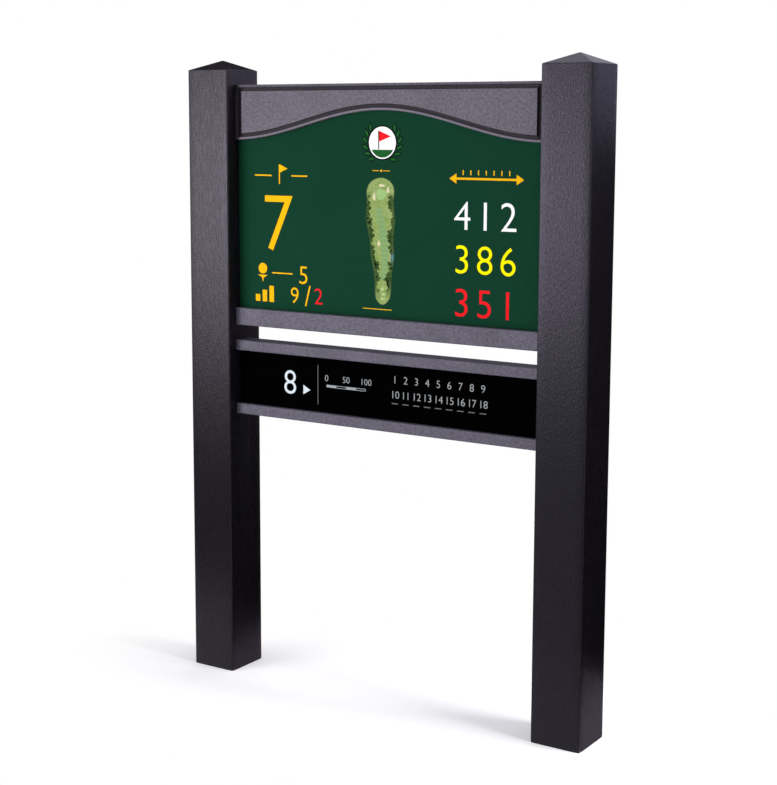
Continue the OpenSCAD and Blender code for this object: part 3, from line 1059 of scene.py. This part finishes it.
@dataclass
class Stencil:
    """Flat shapes cut from film, drawn as x and z in millimetres and laid on a sheet.

    Attributes:
        name: The piece's name.
        finish: The film.
        slot: The record's slot.
        layer: How many films lie under it.
        sheet: Depth of the sheet's front.
        film: Thickness of a film.
    """

    name: str
    finish: Finish
    slot: str = "main_panel_sheet"
    layer: int = 0
    sheet: float = -16.0
    film: float = 0.15
    bm: bmesh.types.BMesh = field(default_factory=bmesh.new)

    def outline(self, points: Sequence[Point2]) -> "Stencil":
        """Adds a shape.

        Args:
            points: The outline.

        Returns:
            The stencil.
        """
        back = self.sheet - self.layer * self.film
        first, second = ([self.bm.verts.new((x, y, z)) for x, z in points] for y in (back, back - self.film))
        count = len(points)
        for i in range(count):
            k = (i + 1) % count
            self.bm.faces.new((first[i], first[k], second[k], second[i]))
        self.bm.faces.new(first)
        self.bm.faces.new(second)
        return self

    def bar(self, x0: float, z0: float, x1: float, z1: float) -> "Stencil":
        """Adds a rectangle."""
        return self.outline([(x0, z0), (x1, z0), (x1, z1), (x0, z1)])

    def disc(self, x: float, z: float, radius: float, points: int = 48) -> "Stencil":
        """Adds a disc."""
        turns = (math.tau * i / points for i in range(points))
        return self.outline([(x + radius * math.cos(a), z + radius * math.sin(a)) for a in turns])

    def numerals(self, text: str, x: float, z: float, height: float, pitch: float) -> "Stencil":
        """Adds plain figures, each centred in its own place.

        Args:
            text: The figures.
            x: Middle of the first figure.
            z: Their foot.
            height: Their height.
            pitch: Distance between two figures' middles.

        Returns:
            The stencil.
        """
        back = self.sheet - self.layer * self.film
        for i, figure in enumerate(text):
            curve = bpy.data.curves.new("figure", "FONT")
            curve.body, curve.size, curve.extrude, curve.resolution_u, curve.offset = figure, 1.0, 0.5, 6, -0.008
            obj = bpy.data.objects.new("figure", curve)
            bpy.context.scene.collection.objects.link(obj)
            depsgraph = bpy.context.evaluated_depsgraph_get()
            mesh = bpy.data.meshes.new_from_object(obj.evaluated_get(depsgraph), depsgraph=depsgraph)
            size = height / FIGURE_HEIGHT
            middle = (min(v.co.x for v in mesh.vertices) + max(v.co.x for v in mesh.vertices)) / 2
            for vert in mesh.vertices:
                across, up, out = vert.co
                vert.co = ((across - middle) * size + x + i * pitch, back - self.film * (out + 0.5), up * size + z)
            shape = bmesh.new()
            shape.from_mesh(mesh)
            bmesh.ops.remove_doubles(shape, verts=shape.verts, dist=1e-4)
            shape.to_mesh(mesh)
            shape.free()
            self.bm.from_mesh(mesh)
            bpy.data.objects.remove(obj)
            bpy.data.curves.remove(curve)
            bpy.data.meshes.remove(mesh)
        return self

    def build(self) -> None:
        """Makes the piece and hands it over."""
        obj = new_object(self.name, mesh_of(self.bm, self.name))
        obj.data.materials.append(STOCK.get(self.finish))
        hand_over(obj, self.slot)


# Height of the built-in font's figures at size 1
FIGURE_HEIGHT = 0.729


def leaf(x: float, z: float, length: float, width: float, turn: float, steps: int = 8) -> list[Point2]:
    """Draws a pointed leaf.

    Args:
        x: Where its stalk is.
        z: Height of its stalk.
        length: Its length.
        width: Its width.
        turn: Its direction, in degrees from the x direction.
        steps: Points along each side.

    Returns:
        The outline.
    """
    side = [(length * i / steps, width / 2 * math.sin(math.pi * (i / steps) ** 0.8)) for i in range(steps + 1)]
    points = side + [(a, -b) for a, b in reversed(side[1:-1])]
    c, s = math.cos(math.radians(turn)), math.sin(math.radians(turn))
    return [(x + a * c - b * s, z + a * s + b * c) for a, b in points]


def flag(stencil: Stencil, x: float, z: float, height: float) -> None:
    """Adds a flagstick, whose pennant flies to the right, to a stencil.

    Args:
        stencil: The stencil.
        x: Middle of the stick.
        z: Its foot.
        height: Its height.
    """
    w = height * 0.035
    stencil.bar(x - w, z, x + w, z + height)
    stencil.outline([(x + w, z + height), (x + height * 0.52, z + height * 0.79), (x + w, z + height * 0.58)])


def arrow(stencil: Stencil, x0: float, x1: float, z: float, thick: float, head: float) -> None:
    """Adds a level arrow from x0 to x1 to a stencil."""
    back = x1 - math.copysign(head, x1 - x0)
    half, barb = thick / 2, head * 0.62
    stencil.outline([(x0, z - half), (back, z - half), (back, z - barb), (x1, z),
                     (back, z + barb), (back, z + half), (x0, z + half)])


@dataclass
class HolePlan:
    """A made-up hole seen from above: tees at the foot, a bending fairway, sand and a green at the head.

    Attributes:
        foot: Height of its lower end.
        head: Height of its upper end.
        middle: Where it lies along the sign.
        cell: Size of a mesh cell.
    """

    foot: float = 777.0
    head: float = 1016.0
    middle: float = -4.0
    cell: float = 1.25

    def share(self, z: float) -> float:
        """Gives how far up the plan a height is, from 0 to 1."""
        return (z - self.foot) / (self.head - self.foot)

    def axis(self, z: float) -> float:
        """Gives the middle of the plan's land at a height."""
        return self.middle + 3.5 * math.sin(self.share(z) * 5.2 + 0.6)

    def half_width(self, z: float) -> float:
        """Gives half the width of the plan's land at a height, rounded off at both ends."""
        t = min(1.0, max(0.0, self.share(z)))
        width = 12.0 + 19.5 * min(1.0, t / 0.66) ** 0.75 + 1.2 * math.sin(t * 21.0)
        low, high = (z - self.foot) / 16.0, (self.head - z) / 30.0
        return width * math.sqrt(max(0.0, 1 - max(0.0, 1 - low) ** 2)) * math.sqrt(max(0.0, 1 - max(0.0, 1 - high) ** 2))

    def fairway(self, z: float) -> float:
        """Gives the middle of the fairway at a height."""
        return self.axis(z) + 7.0 * math.sin(self.share(z) * 6.4 - 1.2)

    def masks(self, x: float, z: float) -> dict[str, float]:
        """Gives how much of each ground covers a point of the plan.

        Args:
            x: Place along the sign.
            z: Height.

        Returns:
            A share from 0 to 1 for each attribute.
        """
        def soft(distance: float, edge: float = 1.2) -> float:
            """Turns a distance inside a shape into a share with a soft edge."""
            t = min(1.0, max(0.0, distance / edge + 0.5))
            return t * t * (3 - 2 * t)

        def oval(cx: float, cz: float, rx: float, rz: float, lobes: float = 0.0) -> float:
            """Gives the distance inside a lobed oval."""
            angle = math.atan2((z - cz) / rz, (x - cx) / rx)
            return (1 + lobes * math.sin(3 * angle + cx) - math.hypot((x - cx) / rx, (z - cz) / rz)) * min(rx, rz)

        axis, t = self.axis(z), self.share(z)
        ripple = 1.5 * math.sin(z * 0.23) + 1.0 * math.sin(z * 0.61 + 1.0)
        reach = max(0.0, 834.0 - z, z - 952.0)
        fairway = 8.0 + 0.6 * ripple - math.hypot(x - self.fairway(z), reach)
        green = oval(self.axis(985) + 2, 985.0, 11.0, 10.5, 0.09)
        sand = max(oval(self.axis(985) - 14, 980.0, 3.2, 7.0, 0.14), oval(self.axis(985) + 17, 993.0, 3.0, 6.0, 0.16),
                   oval(self.axis(985) + 3, 1001.5, 7.0, 2.6, 0.12), oval(self.fairway(893) - 13, 893.0, 3.0, 5.0, 0.18))
        tees = max(min(w / 2 - abs(x - self.axis(h) - o), 2.6 - abs(z - h)) for h, o, w in
                   ((788.0, 0.0, 8.0), (797.0, 1.5, 8.0), (807.0, -1.0, 7.0)))
        pond = oval(self.fairway(868) + 15.5, 868.0, 3.6, 9.0, 0.14)
        edge = self.half_width(z) - abs(x - axis)
        belt = 9.5 + 3.0 * math.sin(z * 0.083 + (2.0 if x > axis else 0.0)) + 1.5 * ripple
        woods = min(belt - edge, t * 30.0 - 3.0, (0.86 - t) * 60.0)
        return {
            "cover": soft(edge - 0.6, 2.6), "fairway": soft(fairway, 2.0), "green": soft(green), "sand": soft(sand, 1.0),
            "tees": soft(tees, 1.0), "pond": soft(pond, 1.2), "woods": 0.85 * soft(woods, 5.0),
        }

    def ground(self) -> None:
        """Builds the print as a closed film with its grounds as attributes."""
        columns = int(90 / self.cell)
        rows = int((self.head - self.foot + 4) / self.cell)
        bm = bmesh.new()
        names = ("cover", "fairway", "green", "sand", "tees", "pond", "woods")
        layers = {name: bm.verts.layers.float.new(name) for name in names}
        grid: dict[tuple[int, int], bmesh.types.BMVert] = {}

        def vert(i: int, k: int) -> bmesh.types.BMVert:
            """Gives the grid's point, made when it is first asked for."""
            if (i, k) not in grid:
                x, z = self.middle - 45 + i * self.cell, self.foot - 2 + k * self.cell
                grid[i, k] = bm.verts.new((x, -16.15, z))
                for name, value in self.masks(x, z).items():
                    grid[i, k][layers[name]] = value
            return grid[i, k]

        for i in range(columns):
            for k in range(rows):
                x, z = self.middle - 45 + (i + 0.5) * self.cell, self.foot - 2 + (k + 0.5) * self.cell
                if self.half_width(z) - abs(x - self.axis(z)) > -1.0:
                    bm.faces.new((vert(i, k), vert(i + 1, k), vert(i + 1, k + 1), vert(i, k + 1)))
        made = bmesh.ops.extrude_face_region(bm, geom=bm.faces[:])
        bmesh.ops.translate(bm, vec=(0.0, 0.15, 0.0), verts=[g for g in made["geom"] if isinstance(g, bmesh.types.BMVert)])
        obj = new_object("hole_plan_print", mesh_of(bm, "plan"))
        obj.data.materials.append(STOCK.get(PLAN_PRINT))
        hand_over(obj, "main_panel_sheet")

    def trees(self) -> None:
        """Strews tree crowns over the wooded belts by Geometry Nodes."""
        bm = bmesh.new()
        cell = 3.0
        for i in range(-15, 15):
            for k in range(int((self.head - self.foot) / cell)):
                x, z = self.middle + i * cell, self.foot + k * cell
                if self.masks(x + cell / 2, z + cell / 2)["woods"] > 0.4 and self.half_width(z) - abs(x + cell / 2 - self.axis(z)) > 2.5:
                    bm.faces.new([bm.verts.new((x + a, -16.18, z + b)) for a, b in ((0, 0), (cell, 0), (cell, cell), (0, cell))])
        obj = new_object("hole_plan_trees", mesh_of(bm, "belts"))
        clumps_tree().run(obj, WOODS_FILM, Density=90000.0, Crown=1.7 * MM, Thickness=0.06 * MM, Seed=7)
        hand_over(obj, "main_panel_sheet")

    def build(self) -> None:
        """Makes the print and its trees."""
        self.ground()
        self.trees()


@dataclass
class MainPanelPrint:
    """The main panel's generic figures and pictures, in millimetres.

    Attributes:
        number: The hole's number.
        distances: Three distances, each with its film, from the top down.
    """

    number: str = "7"
    distances: tuple[tuple[str, Finish, str], ...] = (
        ("412", WHITE_FILM, "white"), ("386", YELLOW_FILM, "yellow"), ("351", RED_FILM, "red"))

    def hole_column(self) -> None:
        """Makes the left column: a flag between rules, the hole's number and two rows of figures."""
        gold = Stencil("hole_flag_and_rules", GOLD_FILM)
        flag(gold, -243.0, 999.0, 38.0)
        gold.bar(-303.0, 1014.0, -262.0, 1016.6).bar(-214.0, 1014.0, -176.0, 1016.6)
        gold.build()
        Stencil("hole_number", GOLD_FILM).numerals(self.number, -245.0, 868.0, 117.0, 60.0).build()
        stroke = Stencil("stroke_figures", GOLD_FILM)
        stroke.disc(-285.0, 832.0, 10.5)
        stroke.outline([(-297.0, 819.0), (-273.0, 819.0), (-283.4, 813.0), (-284.2, 806.0), (-285.8, 806.0), (-286.6, 813.0)])
        stroke.numerals("5", -186.0, 806.0, 37.0, 20.0)
        stroke.bar(-262.0, 823.0, -212.0, 825.4)
        for i, height in enumerate((14.0, 23.0, 32.0)):
            stroke.bar(-303.0 + i * 17.0, 766.0, -292.0 + i * 17.0, 766.0 + height)
        stroke.numerals("9", -207.0, 767.0, 33.0, 20.0)
        stroke.outline([(-182.5, 763.0), (-179.0, 763.0), (-168.5, 803.0), (-172.0, 803.0)])
        stroke.build()
        Stencil("stroke_figure_red", RED_FILM).numerals("2", -150.0, 768.0, 33.0, 20.0).build()

    def distance_column(self) -> None:
        """Makes the right column: a measuring arrow over three distances."""
        measure = Stencil("measuring_arrow", GOLD_FILM)
        arrow(measure, 220.0, 297.0, 1018.0, 4.0, 15.0)
        arrow(measure, 220.0, 143.0, 1018.0, 4.0, 15.0)
        measure.build()
        ticks = new_object("measuring_ticks", bpy.data.meshes.new("ticks"))
        ticks_tree().run(ticks, GOLD_FILM, Count=7, Start=(172.0 * MM, -16.075 * MM, 1029.0 * MM), Pitch=(16.0 * MM, 0.0, 0.0),
                         Size=(2.2 * MM, 0.15 * MM, 9.0 * MM))
        hand_over(ticks, "main_panel_sheet")
        for i, (figures, finish, colour) in enumerate(self.distances):
            Stencil(f"distance_{colour}", finish).numerals(figures, 171.0, 925.0 - 79.5 * i, 55.0, 48.0).build()

    def roundel(self) -> None:
        """Makes the middle's roundel: a red pennant over a green between two sprays of leaves."""
        x, z = -3.0, 1081.0
        shade = Stencil("roundel_shade", DARK_FILM)
        leaves = Stencil("roundel_leaves", LEAF_FILM, layer=1)
        for side in (-1, 1):
            for step in range(6):
                angle = math.radians(90 - side * (52 + 19.5 * step))
                px, pz = x + 33.5 * math.cos(angle), z + 33.5 * math.sin(angle)
                turn = math.degrees(angle) + side * 48
                shade.outline(leaf(px - 0.8 * math.cos(math.radians(turn)), pz - 0.8 * math.sin(math.radians(turn)), 19.0, 9.4, turn))
                leaves.outline(leaf(px + 0.6 * math.cos(math.radians(turn)), pz + 0.6 * math.sin(math.radians(turn)), 15.0, 5.4, turn))
        shade.disc(x, z, 32.5)
        shade.build()
        leaves.build()
        Stencil("roundel_face", WHITE_FILM, layer=1).disc(x, z, 30.0).build()
        chord = [math.radians(a) for a in range(208, 333, 4)]
        Stencil("roundel_green", LEAF_FILM, layer=2).outline([(x + 27.6 * math.cos(a), z + 27.6 * math.sin(a)) for a in chord]).build()
        Stencil("roundel_stick", DARK_FILM, layer=2).bar(x - 9.2, z - 12.0, x - 7.0, z + 22.0).build()
        Stencil("roundel_pennant", RED_FILM, layer=2).outline([(x - 6.8, z + 22.0), (x + 19.0, z + 12.0), (x - 6.8, z + 2.0)]).build()

    def rules(self) -> None:
        """Makes the small gold rules over and under the hole plan."""
        rules = Stencil("plan_rules", GOLD_FILM)
        rules.disc(-5.5, 1029.0, 2.2, points=20).bar(-25.0, 1028.3, -10.5, 1029.7).bar(-0.5, 1028.3, 14.0, 1029.7)
        rules.bar(-46.0, 767.3, 19.0, 768.7)
        rules.build()

    def build(self) -> None:
        """Makes all of the main panel's print."""
        self.hole_column()
        self.distance_column()
        self.roundel()
        self.rules()
        HolePlan().build()


@dataclass
class LowerPanelPrint:
    """The lower panel's generic figures, in millimetres.

    Attributes:
        slot: The record's slot.
    """

    slot: str = "lower_panel_sheet"

    def build(self) -> None:
        """Makes the next hole's number with its pointer, the divider, a scale bar and two rows of plain numbers."""
        mark = Stencil("next_hole_mark", GREY_FILM, self.slot)
        mark.numerals("8", -219.0, 586.0, 50.0, 40.0)
        mark.outline([(-187.0, 588.0), (-170.0, 597.5), (-187.0, 607.0)])
        mark.build()
        Stencil("lower_divider", SLATE_FILM, self.slot).bar(-152.4, 571.0, -151.2, 649.0).build()
        scale = Stencil("scale_figures", MID_GREY_FILM, self.slot)
        for i, figures in enumerate(("0", "50", "100")):
            width = 9.0
            scale.numerals(figures, -131.0 + 46.0 * i - width * (len(figures) - 1) / 2, 619.0, 13.0, width)
        scale.bar(-131.0, 608.0, -108.0, 611.0).bar(-85.0, 608.0, -62.0, 611.0)
        scale.bar(-131.0, 611.0, -39.0, 612.0).bar(-131.0, 607.0, -39.0, 608.0)
        scale.bar(-40.0, 607.0, -39.0, 612.0)
        scale.build()
        rows = Stencil("row_of_numbers", MID_GREY_FILM, self.slot)
        for i in range(9):
            rows.numerals(str(i + 1), 27.0 + 24.0 * i, 629.0, 15.0, 9.0)
            number = str(i + 10)
            rows.numerals(number, 22.5 + 24.0 * i, 600.0, 15.0, 10.0)
        rows.build()
        ticks = new_object("number_ticks", bpy.data.meshes.new("ticks"))
        ticks_tree().run(ticks, SLATE_FILM, Count=9, Start=(27.0 * MM, -16.075 * MM, 590.0 * MM), Pitch=(24.0 * MM, 0.0, 0.0),
                         Size=(14.0 * MM, 0.15 * MM, 1.6 * MM))
        hand_over(ticks, self.slot)


# Studio


@dataclass
class SoftBox:
    """A rectangular soft light.

    Attributes:
        name: The light's name.
        place: Its middle, in metres.
        target: What it faces.
        size: Its width and height, in metres.
        radiance: How bright its face is, where 1 is white.
        roll: How far its right side is tipped up, in degrees.
    """

    name: str
    place: Point3
    target: Point3
    size: Point2
    radiance: float
    roll: float = 0.0

    def build(self) -> None:
        """Makes the light."""
        light = bpy.data.lights.new(self.name, "AREA")
        light.shape, light.size, light.size_y = "RECTANGLE", self.size[0], self.size[1]
        light.energy = self.radiance * math.pi * self.size[0] * self.size[1]
        obj = bpy.data.objects.new(self.name, light)
        obj.location = self.place
        facing = (Vector(self.target) - Vector(self.place)).to_track_quat("-Z", "Y")
        obj.rotation_euler = (facing @ Quaternion((0.0, 0.0, 1.0), math.radians(self.roll))).to_euler()
        bpy.context.scene.collection.objects.link(obj)


@dataclass
class StudioCard:
    """A black, grey or tinted studio card that only reflections see.

    Attributes:
        name: The card's name.
        corners: Its four corners, in metres.
        colour: How it looks in a reflection.
    """

    name: str
    corners: tuple[Point3, Point3, Point3, Point3]
    colour: str

    def build(self) -> None:
        """Makes the card."""
        mesh = bpy.data.meshes.new(self.name)
        mesh.from_pydata(self.corners, [], [(0, 1, 2, 3)])
        material = bpy.data.materials.new(f"{self.name} cloth")
        material.use_nodes = True
        tree = material.node_tree
        tree.nodes.clear()
        glow = add_node(tree, "ShaderNodeEmission", {"Color": linear(self.colour), "Strength": 1.0})
        add_node(tree, "ShaderNodeOutputMaterial", {"Surface": glow.outputs[0]})
        mesh.materials.append(material)
        obj = new_object(self.name, mesh)
        obj.visible_camera = obj.visible_diffuse = obj.visible_shadow = obj.visible_transmission = False


@dataclass
class Studio:
    """Floor, world, lights, cards and camera.

    Attributes:
        fill: Grey level of the room's front half for diffuse light.
        back_fill: The same straight behind the sign.
        lens: The camera's lens, in millimetres.
        shift: The camera's vertical shift.
        place: The camera's place, in metres.
        turn: The camera's tilt, roll and yaw, in degrees.
    """

    fill: float = 0.42
    back_fill: float = 0.85
    lens: float = 73.06
    shift: float = -0.06
    place: Point3 = (1.636, -2.524, 1.113)
    turn: Point3 = (90 - 7.86, -0.22, 32.95)

    def floor(self) -> None:
        """Makes the pale floor, which turns to plain white past an ellipse round the sign."""
        bm = bmesh.new()
        bmesh.ops.create_circle(bm, cap_ends=True, segments=96, radius=30.0)
        mesh = bpy.data.meshes.new("floor")
        bm.to_mesh(mesh)
        bm.free()
        material = bpy.data.materials.new("white painted studio floor")
        material.use_nodes = True
        tree = material.node_tree
        shader = tree.nodes["Principled BSDF"]
        shader.inputs["Roughness"].default_value = 0.9
        shader.inputs["Specular IOR Level"].default_value = 0.0
        place = add_node(tree, "ShaderNodeTexCoord").outputs["Object"]
        paint = add_node(tree, "ShaderNodeTexNoise", {"Vector": place, "Scale": 40.0})
        base = mix_colours(tree, paint.outputs[0], linear("#F4F4F5"), linear("#F7F7F7"))
        tree.links.new(base, shader.inputs["Base Color"])
        seen = self.seen_rays(tree)
        tree.links.new(math_node(tree, "MULTIPLY", seen, 0.18), shader.inputs["Emission Strength"])
        shader.inputs["Emission Color"].default_value = linear("#FFFFFF")
        across = add_node(tree, "ShaderNodeVectorMath", {0: place, 1: (1.0, 2.8, 1.0)}, operation="MULTIPLY").outputs["Vector"]
        away = add_node(tree, "ShaderNodeVectorMath", {0: across, 1: (0.3, -0.14, 0.0)}, operation="DISTANCE").outputs["Value"]
        far = add_node(tree, "ShaderNodeMapRange", {"Value": away, "From Min": 0.70, "From Max": 1.05}).outputs[0]
        white = add_node(tree, "ShaderNodeEmission", {"Color": linear("#FFFFFF"), "Strength": 1.0})
        share = math_node(tree, "MULTIPLY", far, seen)
        both = add_node(tree, "ShaderNodeMixShader", {0: share, 1: shader.outputs[0], 2: white.outputs[0]})
        tree.links.new(both.outputs[0], tree.nodes["Material Output"].inputs["Surface"])
        mesh.materials.append(material)
        new_object("studio_floor", mesh)

    def seen_rays(self, tree: bpy.types.NodeTree) -> bpy.types.NodeSocket:
        """Gives 1 for rays that show the background: camera, glossy and transmission rays."""
        path = add_node(tree, "ShaderNodeLightPath").outputs
        either = math_node(tree, "MAXIMUM", path["Is Camera Ray"], path["Is Glossy Ray"])
        return math_node(tree, "MAXIMUM", either, path["Is Transmission Ray"])

    def world(self) -> None:
        """Makes the room: plain white where it is seen, a cool grey that is paler behind where it only lights."""
        world = bpy.data.worlds.new("white room")
        bpy.context.scene.world = world
        world.use_nodes = True
        tree = world.node_tree
        room = tree.nodes["Background"]
        seen = self.seen_rays(tree)
        tree.links.new(mix_colours(tree, seen, linear("#F6F4FF"), linear("#FFFFFF")), room.inputs["Color"])
        towards = add_node(tree, "ShaderNodeTexCoord").outputs["Generated"]
        backwards = add_node(tree, "ShaderNodeSeparateXYZ", {0: towards}).outputs["Y"]
        light = add_node(tree, "ShaderNodeMapRange", {
            "Value": backwards, "From Min": 0.0, "From Max": 1.0, "To Min": self.fill, "To Max": self.back_fill})
        strength = add_node(tree, "ShaderNodeMix", {0: seen, 2: light.outputs[0], 3: 1.0})
        tree.links.new(strength.outputs[0], room.inputs["Strength"])

    def lamps(self) -> None:
        """Makes the two softboxes and the cards that the dark plastic mirrors."""
        SoftBox("key_softbox", (-1.65, -2.55, 0.925), (0.0, 0.0, 0.85), (1.8, 1.5), 7.4, 9.5).build()
        SoftBox("overhead_softbox", (1.9, 0.1, 3.0), (0.0, 0.0, 0.3), (1.0, 1.0), 26.5).build()
        black, dusk, charcoal, grey = "#000000", "#3A363E", "#7C7880", "#B8B8B8"
        mauve, pale, cool, bright = "#B0A4B4", "#D2D2D2", "#CECEEE", "#F0ECFF"
        for name, shade, (x0, x1), (y0, y1), (z0, z1) in (
            ("front_floor_card", black, (-3.2, 1.1), (-2.5, -0.25), (0.001, 0.001)),
            ("middle_floor_card", grey, (-0.5, 0.35), (-1.25, -0.25), (0.002, 0.002)),
            ("front_foot_card", pale, (-3.2, 1.1), (-0.25, -0.05), (0.002, 0.002)),
            ("back_floor_card", black, (-0.344, 2.6), (-0.04, 2.6), (0.001, 0.001)),
            ("left_foot_card", mauve, (-0.344, -0.29), (-0.04, 0.20), (0.002, 0.002)),
            ("right_foot_card", mauve, (0.444, 0.53), (-0.04, 0.27), (0.002, 0.002)),
            ("side_card", black, (0.2, 2.6), (1.2, 1.2), (0.0, 1.22)),
            ("upper_side_card", cool, (0.6, 2.6), (1.2, 1.2), (1.22, 3.2)),
            ("tall_card", dusk, (-2.6, -0.4), (0.55, 0.55), (1.10, 3.2)),
            ("eaves_card", cool, (-0.4, 0.6), (0.55, 0.55), (1.10, 1.32)),
            ("roof_card", bright, (-0.4, 0.5), (0.55, 0.55), (1.32, 3.2)),
            ("low_card", charcoal, (-1.2, 0.2), (0.55, 0.55), (0.45, 1.10)),
        ):
            corners = ((x0, y0, z0), (x1, y0, z0), (x1, y1, z1), (x0, y1, z1))
            StudioCard(name, corners, shade).build()

    def camera(self) -> None:
        """Makes the camera at the photograph's viewing angle."""
        camera = bpy.data.cameras.new("camera")
        camera.lens, camera.sensor_width, camera.sensor_fit, camera.shift_y = self.lens, 36.0, "AUTO", self.shift
        camera.clip_start, camera.clip_end = 0.05, 100.0
        obj = bpy.data.objects.new("camera", camera)
        obj.location = self.place
        obj.rotation_euler = Euler([math.radians(a) for a in self.turn])
        bpy.context.scene.collection.objects.link(obj)
        bpy.context.scene.camera = obj

    def build(self) -> None:
        """Makes the whole studio."""
        self.camera()
        self.floor()
        self.world()
        self.lamps()
        bpy.context.scene.view_settings.view_transform = "Standard"


def main() -> None:
    """Builds the studio and the sign, piece by piece."""
    logging.basicConfig(level=logging.INFO, format="%(name)s: %(message)s")
    Studio().build()
    screws = Screws()
    for side in PostSide:
        Post(side, screws).build()
    HeaderBoard(screws).build()
    dress_nodes()
    screws.build()
    MainPanelPrint().build()
    LowerPanelPrint().build()


if __name__ == "__main__":
    main()
